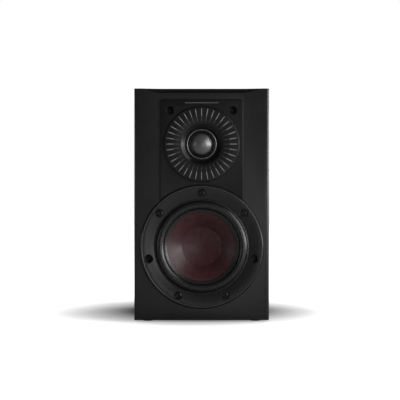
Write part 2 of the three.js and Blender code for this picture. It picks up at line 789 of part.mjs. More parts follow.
function portTube() {
  const BORE = 19;
  const MOUTH = 27;
  const RIM = 33;
  const FLARE_LENGTH = 14;
  const TUBE_OUTER = 21.5;
  const INNER_END = 112;
  const mouth = CABINET_DEPTH + REAR_TRIM;
  const flare = spread(0, Math.PI / 2, 4).map((angle) => [
    MOUTH - (MOUTH - BORE) * Math.sin(angle),
    mouth - FLARE_LENGTH * (1 - Math.cos(angle)),
  ]);
  return turned(
    [
      [RIM, CABINET_DEPTH + SEATED],
      [RIM, mouth - 0.5],
      [RIM - 0.6, mouth],
      ...flare,
      [BORE, INNER_END + 4],
      [BORE + 2, INNER_END],
      [TUBE_OUTER, INNER_END + 1.5],
      [TUBE_OUTER, mouth - FLARE_LENGTH - 2],
      [PORT_COLLAR, CABINET_DEPTH - 5],
      [PORT_COLLAR, CABINET_DEPTH + SEATED],
    ],
    MIDDLE,
  );
}

const SCREW_HEAD = 3.3;
// A countersunk hole, a clearance wider than its screw.
function cupScrewHole() {
  const flush = CABINET_DEPTH + REAR_TRIM;
  const narrow = SCREW_SHANK + GAP;
  const wide = SCREW_HEAD + GAP;
  return turned(
    [
      [0, flush - 6],
      [narrow, flush - 6],
      [narrow, flush - wide + narrow],
      [wide, flush],
      [wide, flush + 1],
      [0, flush + 1],
    ],
    TINY,
  );
}

const postSpots = [-POST_SPACING / 2, POST_SPACING / 2];
const STUD = 3;
const BOARD_FRONT = 188;
const BOARD_BACK = 189.6;
function terminalCup() {
  const flange = roundedRectangle(CUP_WIDTH, CUP_TALL, 4, CUP_HEIGHT);
  const shell = roundedRectangle(
    CUP_WELL_WIDTH + 2 * CUP_WALL,
    CUP_WELL_TALL + 2 * CUP_WALL,
    5,
    CUP_HEIGHT,
  );
  const well = roundedRectangle(CUP_WELL_WIDTH, CUP_WELL_TALL, 4, CUP_HEIGHT);
  const rear = CABINET_DEPTH + REAR_TRIM;
  const body = join(slab(flange, CABINET_DEPTH + SEATED, rear, 3), [
    slab(shell, CUP_FLOOR - CUP_WALL, CABINET_DEPTH + 1, 3),
  ]);
  const holes = postSpots.map((x) =>
    at(cylinder(STUD + GAP, CUP_FLOOR - CUP_WALL - 1, CUP_FLOOR + 1, SMALL), x, CUP_HEIGHT),
  );
  const screws = cupScrewSpots.map(([x, z]) => at(cupScrewHole(), x, z + CUP_HEIGHT));
  return cut(body, [slab(well, CUP_FLOOR, rear + 1, 3), ...holes, ...screws]);
}

// The stud, with the collar outside the cup and the jam nuts that clamp the cup and the crossover board.
const COLLAR_BACK = CUP_FLOOR + 2;
function bindingPost() {
  const JAM_NUT = 5.6;
  const COLLAR = 8;
  const PLUG_BORE = 2.1;
  const boardNut = [BOARD_BACK + 2 * SEATED, BOARD_BACK + 3];
  const cupNut = [CUP_FLOOR - CUP_WALL - 3.1, CUP_FLOOR - CUP_WALL - SEATED];
  const [start, end, boreEnd] = [184, 223, 212];
  return turned(
    [
      [0, start],
      [STUD, start],
      [STUD, boardNut[0]],
      [JAM_NUT, boardNut[0]],
      [JAM_NUT, boardNut[1]],
      [STUD, boardNut[1]],
      [STUD, cupNut[0]],
      [JAM_NUT, cupNut[0]],
      [JAM_NUT, cupNut[1]],
      [STUD, cupNut[1]],
      [STUD, CUP_FLOOR + SEATED],
      [COLLAR, CUP_FLOOR + SEATED],
      [COLLAR, COLLAR_BACK],
      [STUD, COLLAR_BACK],
      [STUD, end - 0.6],
      [PLUG_BORE, end],
      [PLUG_BORE, boreEnd],
      [0, boreEnd],
    ],
    SMALL,
  );
}

// The thumb nut: a fluted sleeve, open at the rear for a banana plug.
const NUT_FRONT = CUP_FLOOR + 3.6;
const NUT_BACK = NUT_FRONT + 15.4;
function thumbNut() {
  const FLUTES = 12;
  const BODY = 8.5;
  const FLUTE_DEPTH = 0.9;
  const outline = new THREE.Shape();
  for (let i = 0; i < 3 * FLUTES; i++) {
    const angle = (2 * Math.PI * i) / (3 * FLUTES);
    const radius = i % 3 === 0 ? BODY - FLUTE_DEPTH : BODY;
    const [x, z] = [radius * Math.cos(angle), radius * Math.sin(angle)];
    if (i === 0) outline.moveTo(x, z);
    else outline.lineTo(x, z);
  }
  const bore = cylinder(STUD + GAP, NUT_FRONT - 1, NUT_BACK + 1, SMALL);
  return cut(slab(outline, NUT_FRONT, NUT_BACK), [bore]);
}

// A countersunk screw, flush with the cup's flange.
function cupScrew() {
  const LENGTH = 14;
  const POINT = 2;
  const flush = CABINET_DEPTH + REAR_TRIM;
  return turned(
    [
      [0, flush - LENGTH],
      [SCREW_SHANK, flush - LENGTH + POINT],
      [SCREW_SHANK, flush - SCREW_HEAD + SCREW_SHANK],
      [SCREW_HEAD, flush],
      [0, flush],
    ],
    TINY,
  );
}

place("port_tube", at(portTube(), 0, PORT_HEIGHT), blackPlastic);
place("terminal_cup", terminalCup(), blackPlastic);
const WASHER = 7.6;
[["red", redPlastic], ["black", blackPlastic]].forEach(([colour, plastic], i) => {
  const x = postSpots[i];
  const washer = ring(STUD + GAP, WASHER, COLLAR_BACK + SEATED, NUT_FRONT - SEATED, SMALL);
  place(`binding_post_${colour}`, at(bindingPost(), x, CUP_HEIGHT), goldPlate);
  place(`clamp_washer_${colour}`, at(washer, x, CUP_HEIGHT), goldPlate);
  place(`thumb_nut_${colour}`, at(thumbNut(), x, CUP_HEIGHT), plastic);
});
cupScrewSpots.forEach(([x, z], i) => {
  place(`cup_screw_${i + 1}`, at(cupScrew(), x, z + CUP_HEIGHT), blackSteel);
});

function crossoverBoard() {
  const blank = box([-58, 58], [BOARD_FRONT, BOARD_BACK], [CUP_HEIGHT - 40, CUP_HEIGHT + 44]);
  const holes = postSpots.map((x) =>
    at(cylinder(STUD + GAP, BOARD_FRONT - 1, BOARD_BACK + 1, SMALL), x, CUP_HEIGHT),
  );
  return cut(blank, holes);
}

place("crossover_board", crossoverBoard(), circuitBoard);
const lowPassCoil = ring(8, 19, BOARD_FRONT - 18, BOARD_FRONT - SEATED, MIDDLE);
place("low_pass_coil", at(lowPassCoil, -34, CUP_HEIGHT + 22), copper);
const highPassCoil = ring(6, 14, BOARD_FRONT - 12, BOARD_FRONT - SEATED, MIDDLE);
place("high_pass_coil", at(highPassCoil, 38, CUP_HEIGHT + 26), copper);
const CAPACITOR_RADIUS = 9;
const CAPACITOR_LENGTH = 34;
const capacitor = new THREE.CylinderGeometry(CAPACITOR_RADIUS, CAPACITOR_RADIUS, CAPACITOR_LENGTH, SMALL);
capacitor.rotateZ(Math.PI / 2).translate(34, BOARD_FRONT - CAPACITOR_RADIUS - GAP, CUP_HEIGHT - 24);
place("tweeter_capacitor", capacitor, filmCapacitor);

// Twin flex from the crossover board to each drive unit.
const FLEX_WIDTH = 4.2;
const FLEX_THICKNESS = 2.2;
const wooferLeadRoute = [
  [8, BOARD_FRONT - 1.8, CUP_HEIGHT + 38],
  [8, BOARD_FRONT - 14, CUP_HEIGHT + 46],
  [6, 140, 136],
  [2, 90, 150],
  [0, 50, 152],
  [0, 26, 146.5],
  [0, 21.4, 144.4],
];
const wooferLead = flex(wooferLeadRoute, FLEX_WIDTH, FLEX_THICKNESS, 20, 8);
place("woofer_lead", wooferLead, redInsulation);
const tweeterLeadRoute = [
  [-8, BOARD_FRONT - 1.8, CUP_HEIGHT + 40],
  [-12, BOARD_FRONT - 16, CUP_HEIGHT + 56],
  [-30, 140, 166],
  [-34, 90, 178],
  [-26, 50, 184],
  [-16, 34, 182],
  [-11, 31, 183.6],
];
const tweeterLead = flex(tweeterLeadRoute, FLEX_WIDTH, FLEX_THICKNESS, 20, 8);
place("tweeter_lead", tweeterLead, blackPlastic);

export default speaker;
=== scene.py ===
"""A compact two-way bookshelf speaker: its looks, floor, light and camera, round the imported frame.

Pieces are drawn as they would be on a bench, in millimetres: radii from the axis of their drive unit or
fitting, and depths from the baffle's front face, positive to the rear. They become metres in the frame
when their mesh is made. Places and sizes come from the frame's own boxes wherever it has them.
"""

import json
import random
from math import acos, cos, hypot, pi, radians, sin

import bmesh
import bpy
import numpy as np
from mathutils import Matrix, Vector


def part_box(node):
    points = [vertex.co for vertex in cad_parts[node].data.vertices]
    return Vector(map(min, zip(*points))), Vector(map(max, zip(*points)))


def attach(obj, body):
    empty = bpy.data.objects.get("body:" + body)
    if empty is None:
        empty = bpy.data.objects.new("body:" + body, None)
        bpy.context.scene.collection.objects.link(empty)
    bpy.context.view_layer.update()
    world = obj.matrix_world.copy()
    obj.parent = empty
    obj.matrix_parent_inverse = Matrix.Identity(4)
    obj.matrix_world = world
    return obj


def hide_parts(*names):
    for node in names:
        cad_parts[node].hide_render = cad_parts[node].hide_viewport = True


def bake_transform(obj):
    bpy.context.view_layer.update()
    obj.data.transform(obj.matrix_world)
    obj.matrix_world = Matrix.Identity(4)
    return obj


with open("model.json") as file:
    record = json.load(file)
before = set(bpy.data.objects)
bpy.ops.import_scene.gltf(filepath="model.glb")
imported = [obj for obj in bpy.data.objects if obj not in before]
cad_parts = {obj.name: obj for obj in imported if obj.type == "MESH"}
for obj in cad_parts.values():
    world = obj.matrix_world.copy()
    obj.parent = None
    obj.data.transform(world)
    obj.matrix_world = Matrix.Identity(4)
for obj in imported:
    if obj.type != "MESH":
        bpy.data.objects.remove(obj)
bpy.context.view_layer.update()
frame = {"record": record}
scene = bpy.context.scene

MM = 0.001
record = frame["record"]
BODY_OF = {n: body for body, nodes in record["behaviour"]["bodies"].items() for n in nodes}
SLOT_OF = {part["node"]: part["material_slot"] for part in record["subparts"]}
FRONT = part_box("front_baffle")[0].y

# Numbers of sides of what is turned, by size.
LARGE, MEDIUM, SMALL, TINY = 192, 96, 48, 24

# How far a cutter reaches past what it cuts.
PAST = 9


# ---- Measures of the frame

def middle(node):
    low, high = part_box(node)
    return (low + high) / 2


def size_of(node):
    """The width, depth and height of a CAD node, in millimetres."""
    low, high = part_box(node)
    return [(high[k] - low[k]) / MM for k in range(3)]


def radius_of(node):
    return size_of(node)[0] / 2


def depths_of(node):
    """The nearest and farthest depth of a CAD node."""
    return [(corner.y - FRONT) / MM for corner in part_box(node)]


def on_axis_of(node):
    """A place whose Y axis is the axis of a turned CAD node, at the baffle's front face."""
    centre = middle(node)
    return Matrix.Translation((centre.x, FRONT, centre.z))


WOOFER = on_axis_of("woofer_basket")
TWEETER = on_axis_of("tweeter_waveguide")
PORT = on_axis_of("port_tube")
CUP = on_axis_of("terminal_cup")


# ---- Shapes

def linked(data):
    """An object with that data, in the scene."""
    obj = bpy.data.objects.new(data.name, data)
    scene.collection.objects.link(obj)
    return obj


def object_of(mesh):
    bmesh.ops.remove_doubles(mesh, verts=mesh.verts, dist=1e-7)
    bmesh.ops.recalc_face_normals(mesh, faces=mesh.faces)
    data = bpy.data.meshes.new("shape")
    mesh.to_mesh(data)
    mesh.free()
    return linked(data)


def spread(start, end, count):
    return [start + (end - start) * i / (count - 1) for i in range(count)]


def filleted(outline, steps=5):
    """The closed outline with a round corner wherever a point has a third number, the corner's reach."""
    made = []
    for i, point in enumerate(outline):
        here = Vector(point[:2])
        if len(point) < 3:
            made.append(here)
            continue
        back = Vector(outline[i - 1][:2]) - here
        ahead = Vector(outline[(i + 1) % len(outline)][:2]) - here
        reach = min(point[2], 0.48 * back.length, 0.48 * ahead.length)
        start = here + back.normalized() * reach
        end = here + ahead.normalized() * reach
        for t in spread(0, 1, steps + 1):
            made.append((1 - t) ** 2 * start + 2 * t * (1 - t) * here + t**2 * end)
    return made


def turned(section, place, sides=MEDIUM, steps=5):
    """A solid of revolution about the place's Y axis, from a closed outline of (radius, depth)."""
    mesh = bmesh.new()
    angles = [2 * pi * k / sides for k in range(sides)]
    rings = []
    for radius, depth in filleted(section, steps):
        if radius < 1e-6:
            rings.append([mesh.verts.new(place @ Vector((0, depth * MM, 0)))])
            continue
        around = [Vector((radius * cos(a), depth, radius * sin(a))) for a in angles]
        rings.append([mesh.verts.new(place @ (point * MM)) for point in around])
    for one, other in zip(rings, rings[1:] + rings[:1]):
        if len(one) == 1 and len(other) == 1:
            continue
        for k in range(sides):
            n = (k + 1) % sides
            corners = [one[k % len(one)], one[n % len(one)], other[n % len(other)], other[k % len(other)]]
            mesh.faces.new(list(dict.fromkeys(corners)))
    return object_of(mesh)


def prism(outline, near, far, place=Matrix.Identity(4), steps=8):
    """A closed outline of (x, z) made solid between two depths."""
    mesh = bmesh.new()
    points = filleted(outline, steps)
    front, back = [
        [mesh.verts.new(place @ (Vector((x, depth, z)) * MM)) for x, z in points] for depth in (near, far)
    ]
    mesh.faces.new(front)
    mesh.faces.new(back)
    for k in range(len(points)):
        n = (k + 1) % len(points)
        mesh.faces.new([front[k], front[n], back[n], back[k]])
    return object_of(mesh)


def shell(front, thickness):
    """The section of a skin, from the (radius, depth) points of its front."""
    return [*front, *[(radius, depth + thickness) for radius, depth in reversed(front)]]


def ring(inner, outer, near, far, inner_ease=0, outer_ease=0):
    """The section of a plain ring, with its inner and outer corners rounded."""
    front = [(inner, near, inner_ease), (outer, near, outer_ease)]
    return [*front, (outer, far, outer_ease), (inner, far, inner_ease)]


def rectangle(width, height, corner):
    x, z = width / 2, height / 2
    return [(-x, -z, corner), (x, -z, corner), (x, z, corner), (-x, z, corner)]


def slab(node, corner, near, far):
    """A plate with the width and height of a CAD node, between two depths."""
    width, _, height = size_of(node)
    return prism(rectangle(width, height, corner), near, far, on_axis_of(node))


def evaluated(obj):
    """The mesh of an object with its modifiers or its curve worked out."""
    return bpy.data.meshes.new_from_object(obj.evaluated_get(bpy.context.evaluated_depsgraph_get()))


def applied(obj):
    obj.data = evaluated(obj)
    obj.modifiers.clear()
    return obj


def eased(obj, width, segments=3, angle=30):
    """obj with the edges sharper than the angle, in degrees, rounded off by a width in millimetres."""
    bevel = obj.modifiers.new("eased", "BEVEL")
    bevel.width = width * MM
    bevel.segments = segments
    bevel.limit_method = "ANGLE"
    bevel.angle_limit = radians(angle)
    return applied(obj)


def worked(obj, tools, operation):
    """obj cut by each tool in turn, or joined to it. The tools are used up."""
    for tool in tools:
        modifier = obj.modifiers.new("worked", "BOOLEAN")
        modifier.operation = operation
        modifier.object = tool
        modifier.solver = "EXACT"
        applied(obj)
        bpy.data.objects.remove(tool)
    return obj


def cut(obj, *tools):
    return worked(obj, tools, "DIFFERENCE")


def join(obj, *tools):
    return worked(obj, tools, "UNION")


def holes(radius, near, far, places, sides=SMALL):
    """A round cutter at each place."""
    section = [(0, near), (radius, near), (radius, far), (0, far)]
    return [turned(section, place, sides) for place in places]


def at(place, x, z):
    """The place moved across the front by x and z, in millimetres."""
    return place @ Matrix.Translation((x * MM, 0, z * MM))


def tube(points, radius):
    """A round tube of a radius in millimetres along a smooth line through the points, in metres."""
    line = bpy.data.curves.new("shape", "CURVE")
    line.dimensions = "3D"
    line.resolution_u = 12
    line.bevel_depth = radius * MM
    line.bevel_resolution = 4
    line.use_fill_caps = True
    spline = line.splines.new("BEZIER")
    spline.bezier_points.add(len(points) - 1)
    for knot, point in zip(spline.bezier_points, points):
        knot.co = point
        knot.handle_left_type = knot.handle_right_type = "AUTO"
    drawn = linked(line)
    obj = linked(evaluated(drawn))
    bpy.data.objects.remove(drawn)
    return obj


def joined(objects):
    """Several solids as one piece, with no boolean."""
    mesh = bmesh.new()
    for obj in objects:
        mesh.from_mesh(obj.data)
        bpy.data.objects.remove(obj)
    return object_of(mesh)


# ---- Materials

class Nodes:
    """A tree of shader nodes."""

    def __init__(self, owner):
        owner.use_nodes = True
        self.tree = owner.node_tree

    def node(self, kind, links=(), **settings):
        """A node with its properties or unlinked sockets set by name."""
        made = self.tree.nodes.new(kind)
        for key, value in settings.items():
            if hasattr(made, key):
                setattr(made, key, value)
            else:
                made.inputs[key].default_value = value
        for socket, source in links:
            self.tree.links.new(source, made.inputs[socket])
        return made

    def maths(self, operation, first, second=None):
        made = self.node("ShaderNodeMath", operation=operation)
        for socket, value in enumerate(v for v in (first, second) if v is not None):
            if isinstance(value, (int, float)):
                made.inputs[socket].default_value = value
            else:
                self.tree.links.new(value, made.inputs[socket])
        return made.outputs["Value"]

    def ranged(self, factor, low, high, start=0.0, end=1.0):
        """The factor's stretch from low to high, spread from start to end and clamped."""
        ends = {"From Min": low, "From Max": high, "To Min": start, "To Max": end}
        return self.node("ShaderNodeMapRange", [("Value", factor)], **ends).outputs["Result"]

    def seen_by_camera(self):
        """1 for the rays that come straight from the camera, 0 for the light that bounces about."""
        return self.node("ShaderNodeLightPath").outputs["Is Camera Ray"]


class Finish(Nodes):
    """A node material. Its textures lie in the object's own space, in metres."""

    SOCKETS = {
        "metallic": "Metallic", "specular": "Specular IOR Level", "sheen": "Sheen Weight",
        "coat": "Coat Weight", "coat_roughness": "Coat Roughness", "glow": "Emission Color",
    }

    def __init__(self, name, colour, roughness, **settings):
        self.material = bpy.data.materials.new(name)
        super().__init__(self.material)
        self.shader = self.tree.nodes["Principled BSDF"]
        self.shader.inputs["Base Color"].default_value = (*colour, 1)
        self.shader.inputs["Roughness"].default_value = roughness
        for key, value in settings.items():
            self.shader.inputs[self.SOCKETS[key]].default_value = value
        self.colour = colour
        self.roughness = roughness
        self.coordinates = self.node("ShaderNodeTexCoord").outputs["Object"]

    def stretched(self, scales):
        """The coordinates scaled differently along X, Y and Z."""
        links = [("Vector", self.coordinates)]
        return self.node("ShaderNodeMapping", links, Scale=scales).outputs["Vector"]

    def noise(self, size, detail, coordinates=None, distortion=0.0):
        """Noise whose spots are about that size, in millimetres, from 0 to 1."""
        links = [("Vector", coordinates or self.coordinates)]
        settings = {"Scale": 1 / (size * MM), "Detail": detail, "Distortion": distortion}
        return self.node("ShaderNodeTexNoise", links, **settings).outputs["Fac"]

    def bands(self, pitch, direction):
        """Ridges across one axis, that many millimetres apart, from 0 to 1."""
        WAVES_PER_UNIT = 20
        links = [("Vector", self.coordinates)]
        scale = 2 * pi / (WAVES_PER_UNIT * pitch * MM)
        return self.node("ShaderNodeTexWave", links, bands_direction=direction, Scale=scale).outputs["Fac"]

    def weave(self, pitch):
        return self.maths("MAXIMUM", self.bands(pitch, "X"), self.bands(pitch, "Z"))

    def mixed(self, factor, first, second):
        """Two colours, or the results of two mixes, mixed by a factor."""
        FIRST_COLOUR, SECOND_COLOUR, MIXED_COLOUR = 6, 7, 2
        made = self.node("ShaderNodeMix", [("Factor", factor)], data_type="RGBA")
        for socket, value in ((FIRST_COLOUR, first), (SECOND_COLOUR, second)):
            if isinstance(value, tuple):
                made.inputs[socket].default_value = (*value, 1)
            else:
                self.tree.links.new(value, made.inputs[socket])
        return made.outputs[MIXED_COLOUR]

    def paint(self, colour):
        self.tree.links.new(colour, self.shader.inputs["Base Color"])

    def shades(self, factor, darker, lighter):
        """The base colour wanders between two multiples of itself."""
        ends = [tuple(min(1, c * share) for c in self.colour) for share in (darker, lighter)]
        self.paint(self.mixed(factor, *ends))

    def polish(self, factor, spread_by):
        """The roughness wanders by that much either way."""
        low, high = self.roughness - spread_by, self.roughness + spread_by
        self.tree.links.new(self.ranged(factor, 0.3, 0.7, low, high), self.shader.inputs["Roughness"])

    def bump(self, height, distance, strength=1.0):
        """Relief of that many millimetres, on top of any relief that is there already."""
        made = self.node("ShaderNodeBump", [("Height", height)], Strength=strength, Distance=distance * MM)
        normal = self.shader.inputs["Normal"]
        if normal.links:
            self.tree.links.new(normal.links[0].from_socket, made.inputs["Normal"])
        self.tree.links.new(made.outputs["Normal"], normal)


def clouded(name, colour, roughness, shades, polish, bump, **settings):
    """A finish whose colour, roughness and relief each follow a noise of their own.

    All three start with the noise's spot size in millimetres and its detail. Then come, for shades,
    the darkest and lightest share of the colour; for polish, the swing of the roughness; and for
    bump, the relief in millimetres and its strength.
    """
    finish = Finish(name, colour, roughness, **settings)
    finish.shades(finish.noise(*shades[:2]), *shades[2:])
    if polish:
        finish.polish(finish.noise(*polish[:2]), polish[2])
    finish.bump(finish.noise(*bump[:2]), *bump[2:])
    return finish


def ink(name, colour):
    return clouded(name, colour, 0.42, (0.9, 4, 0.85, 1.15), None, (0.2, 2, 0.01, 0.5), specular=0.3)


def grained_vinyl():
    """Matt vinyl, embossed with fine pores that run from front to back."""
    PORE, STRETCH = 0.9, (1, 0.05, 1)
    finish = Finish("grained_vinyl", (0.0046, 0.0046, 0.0047), 0.6, specular=0.12)
    pores = finish.noise(PORE, 3, finish.stretched(STRETCH))
    finish.shades(finish.ranged(pores, 0.35, 0.65), 0.75, 1.25)
    finish.bump(finish.ranged(pores, 0.42, 0.55), 0.008, 0.3)
    return finish


def cone_paper():
    """Pressed paper pulp, dyed maroon: cloudy, with curled fibres lying in it and a few pale flecks."""
    DARK_PULP, PALE_PULP = (0.014, 0.0042, 0.0052), (0.026, 0.0078, 0.0092)
    FIBRE, FIBRE_SHARE, FLECK = (0.12, 0.065, 0.06), 0.4, (0.20, 0.15, 0.14)
    finish = Finish("maroon_paper", (0.020, 0.0060, 0.0072), 0.34, specular=0.14)
    pulp = finish.mixed(finish.ranged(finish.noise(5, 6), 0.3, 0.7), DARK_PULP, PALE_PULP)
    curl = finish.noise(1.6, 2, distortion=1.2)
    line = finish.maths("ABSOLUTE", finish.maths("SUBTRACT", curl, 0.5))
    patches = finish.ranged(finish.noise(2.4, 3), 0.56, 0.62)
    fibres = finish.maths("MULTIPLY", finish.ranged(line, 0.014, 0.004), patches)
    fibred = finish.mixed(finish.maths("MULTIPLY", fibres, FIBRE_SHARE), pulp, FIBRE)
    flecks = finish.ranged(finish.noise(0.8, 1), 0.77, 0.84)
    finish.paint(finish.mixed(flecks, fibred, FLECK))
    finish.polish(finish.noise(1.5, 5), 0.08)
    finish.bump(finish.noise(0.9, 5), 0.02, 0.5)
    finish.bump(fibres, 0.02, 0.5)
    return finish


def coated_dome():
    """Fine woven silk under a clear damping coat."""
    finish = Finish("coated_silk", (0.022, 0.022, 0.023), 0.36, coat=0.35, coat_roughness=0.22)
    weave = finish.weave(0.32)
    finish.shades(weave, 0.8, 1.15)
    finish.polish(finish.noise(1.5, 3), 0.04)
    finish.bump(weave, 0.012, 0.5)
    return finish


def copper_wire():
    """Enamelled wire laid side by side along the coil's axis."""
    finish = Finish("enamelled_copper", (0.62, 0.22, 0.09), 0.28, metallic=1, coat=0.5)
    turns = finish.bands(0.7, "Y")
    finish.shades(turns, 0.45, 1.1)
    finish.polish(finish.noise(2, 3), 0.05)
    finish.bump(turns, 0.15)
    return finish


def spider_cloth():
    """Open-weave cotton stiffened with amber resin."""
    finish = Finish("resin_cloth", (0.40, 0.25, 0.09), 0.72)
    weave = finish.weave(0.7)
    finish.shades(weave, 0.55, 1.15)
    finish.polish(finish.noise(2, 3), 0.06)
    finish.bump(weave, 0.12)
    return finish


def wadding():
    """Matted polyester fibre."""
    finish = Finish("polyester_wadding", (0.62, 0.60, 0.55), 0.95, sheen=0.4)
    strands = finish.noise(1.5, 8, distortion=1.5)
    finish.shades(strands, 0.75, 1.15)
    finish.polish(strands, 0.04)
    finish.bump(strands, 0.8, 0.8)
    return finish


def circuit_board():
    """Green solder mask over copper tracks."""
    finish = Finish("circuit_board", (0.012, 0.075, 0.035), 0.35)
    tracks = finish.ranged(finish.maths("MAXIMUM", finish.bands(9, "X"), finish.bands(13, "Z")), 0.9, 0.94)
    finish.paint(finish.mixed(tracks, (0.010, 0.060, 0.028), (0.03, 0.13, 0.05)))
    finish.polish(finish.noise(4, 3), 0.05)
    finish.bump(tracks, 0.05)
    return finish


MOULDING = (18, 3, 0.9, 1.1), (6, 4, 0.03), (0.28, 2, 0.004, 0.25)

# One finish for each material slot, and then those of single pieces.
finishes = {
    "black_wrap": clouded(
        "satin_black_wrap", (0.0036, 0.0036, 0.0037), 0.31,
        (60, 3, 0.86, 1.14), (22, 5, 0.04), (0.35, 3, 0.003, 0.25), specular=0.22,
    ),
    "moulded_black": clouded("moulded_black", (0.0030, 0.0030, 0.0031), 0.30, *MOULDING, specular=0.22),
    "foot_rubber": clouded(
        "moulded_rubber", (0.0010, 0.0010, 0.0010), 0.32,
        (4, 4, 0.8, 1.2), (2, 3, 0.04), (0.3, 3, 0.008, 0.5), specular=0.1,
    ),
    "surround_rubber": clouded(
        "surround_rubber", (0.0030, 0.0030, 0.0030), 0.26,
        (7, 4, 0.8, 1.25), (3, 4, 0.03), (0.6, 3, 0.002, 0.3), specular=0.24,
    ),
    "cone_paper": cone_paper(),
    "dome_fabric": coated_dome(),
    "trim_metal": clouded(
        "satin_aluminium", (0.12, 0.12, 0.122), 0.36,
        (2, 4, 0.9, 1.1), (0.6, 3, 0.06), (0.2, 2, 0.004, 0.5), metallic=1,
    ),
    "black_steel": clouded(
        "blackened_steel", (0.0014, 0.0014, 0.0015), 0.30,
        (2, 4, 0.75, 1.3), (1.2, 4, 0.08), (0.25, 3, 0.012, 0.6), specular=0.12,
    ),
    "plated_steel": clouded(
        "zinc_plated_steel", (0.56, 0.57, 0.60), 0.34,
        (5, 5, 0.82, 1.08), (3, 5, 0.1), (0.4, 3, 0.01, 0.5), metallic=1,
    ),
    "ferrite": clouded(
        "ferrite", (0.026, 0.026, 0.028), 0.72, (2.5, 6, 0.7, 1.5), (1.5, 4, 0.08), (0.6, 6, 0.06, 0.7)
    ),
    "gold_plate": clouded(
        "gold_plate", (0.80, 0.55, 0.22), 0.2,
        (3, 4, 0.88, 1.05), (1.0, 4, 0.06), (0.3, 3, 0.004, 0.5), metallic=1,
    ),
    "copper_wire": copper_wire(),
    "spider_cloth": spider_cloth(),
    "foam_gasket": clouded(
        "closed_cell_foam", (0.013, 0.013, 0.013), 0.9, (0.8, 3, 0.7, 1.5), (1, 2, 0.05), (0.5, 4, 0.08)
    ),
    "wadding": wadding(),
    "circuit_board": circuit_board(),
    "capacitor_film": clouded(
        "blue_film", (0.05, 0.14, 0.32), 0.25, (4, 4, 0.85, 1.12), (2, 3, 0.05), (3, 3, 0.08, 0.5), coat=0.4
    ),
    "red_plastic": clouded(
        "red_plastic", (0.42, 0.010, 0.008), 0.24,
        (5, 3, 0.9, 1.1), (2, 3, 0.05), (0.5, 3, 0.006, 0.5), coat=0.3, coat_roughness=0.1,
    ),
    "red_insulation": clouded(
        "red_insulation", (0.24, 0.010, 0.008), 0.45, (6, 3, 0.88, 1.12), (2, 3, 0.05), (0.8, 3, 0.02, 0.5)
    ),
    "printed_silver": ink("printed_silver", (0.16, 0.16, 0.163)),
    "printed_grey": ink("printed_grey", (0.032, 0.032, 0.033)),
    "printed_rule": ink("printed_rule", (0.04, 0.04, 0.041)),
    "panel": grained_vinyl(),
    "faceplate": clouded("faceplate_black", (0.0020, 0.0020, 0.0021), 0.31, *MOULDING, specular=0.15),
    "tweeter_surround": clouded(
        "thin_rubber", (0.0012, 0.0012, 0.0012), 0.34,
        (4, 3, 0.8, 1.25), (2, 4, 0.03), (0.4, 3, 0.002, 0.3), specular=0.1,
    ),
    # The bead's paler colour is a painted highlight: it makes the lip read as a bright ring from every
    # side.
    "flange_bead": clouded(
        "bead_painted_highlight", (0.024, 0.024, 0.0245), 0.55,
        (5, 4, 0.7, 1.2), (2, 4, 0.05), (0.3, 2, 0.005, 0.4), specular=0.1,
    ),
}


def dress(obj, name, slot, finish):
    """A name, a finish, the slot's own if none is named, and creases only where faces really turn."""
    SHARP_ANGLE = 32
    obj.name = name
    obj.data.materials.clear()
    obj.data.materials.append(finishes[finish or slot].material)
    obj.data.shade_smooth()
    obj.data.set_sharp_from_angle(angle=radians(SHARP_ANGLE))


def extra(obj, name, node, slot, finish):
    """A piece that has no CAD node of its own, on the body of the node that carries it."""
    dress(obj, name, slot, finish)
    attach(obj, BODY_OF[node])


def replace(obj, node, finish=None):
    """obj takes the place of a CAD node, in its material slot."""
    dress(obj, f"{node}_detailed", SLOT_OF[node], finish)
    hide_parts(node)


def stand_for(obj, node, finish=None):
    """obj takes the place of a CAD node and rides on its body."""
    replace(obj, node, finish)
    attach(obj, BODY_OF[node])


def turn_for(node, section, place, sides=MEDIUM, steps=5, finish=None):
    """A whole node that is turned from one section."""
    stand_for(turned(section, place, sides, steps), node, finish)


def numbered(prefix, places, first):
    """A piece for the first place, and copies of it at the others, for CAD nodes numbered from 1."""
    stand_for(first, f"{prefix}_1")
    for i, place in enumerate(places[1:], 2):
        other = linked(first.data.copy())
        other.data.transform(place @ places[0].inverted())
        stand_for(other, f"{prefix}_{i}")


def stretch_between(obj, node, finish=None):
    """A ring, such as a surround, that takes the place of a CAD node, with its place baked into its mesh.
    """
    replace(obj, node, finish)
    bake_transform(obj)


# ---- Camera

def add_camera():
    """A level camera, square to the baffle. The cabinet takes up a given share of the picture's width."""
    LENS, SENSOR = 120, 36
    CABINET_SHARE, AIM_RIGHT, AIM_UP = 0.3376, -0.0041, 0.0108
    low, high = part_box("front_baffle")
    width = (high.x - low.x) / CABINET_SHARE
    data = bpy.data.cameras.new("camera")
    data.lens = LENS
    data.sensor_width = SENSOR
    camera = linked(data)
    x = AIM_RIGHT * width
    z = (low.z + high.z) / 2 + AIM_UP * width
    camera.location = (x, FRONT - width * LENS / SENSOR, z)
    camera.rotation_euler = (radians(90), 0, 0)
    scene.camera = camera


add_camera()


# ---- Cabinet

HALF_WIDTH = size_of("front_baffle")[0] / 2
CABINET_FLOOR, CABINET_TOP = [corner.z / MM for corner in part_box("front_baffle")]
BAFFLE = depths_of("front_baffle")[1]
REAR_INSIDE, REAR_FACE = depths_of("rear_panel")
PANEL = REAR_FACE - REAR_INSIDE
FRONT_PLANE = Matrix.Translation((0, FRONT, 0))

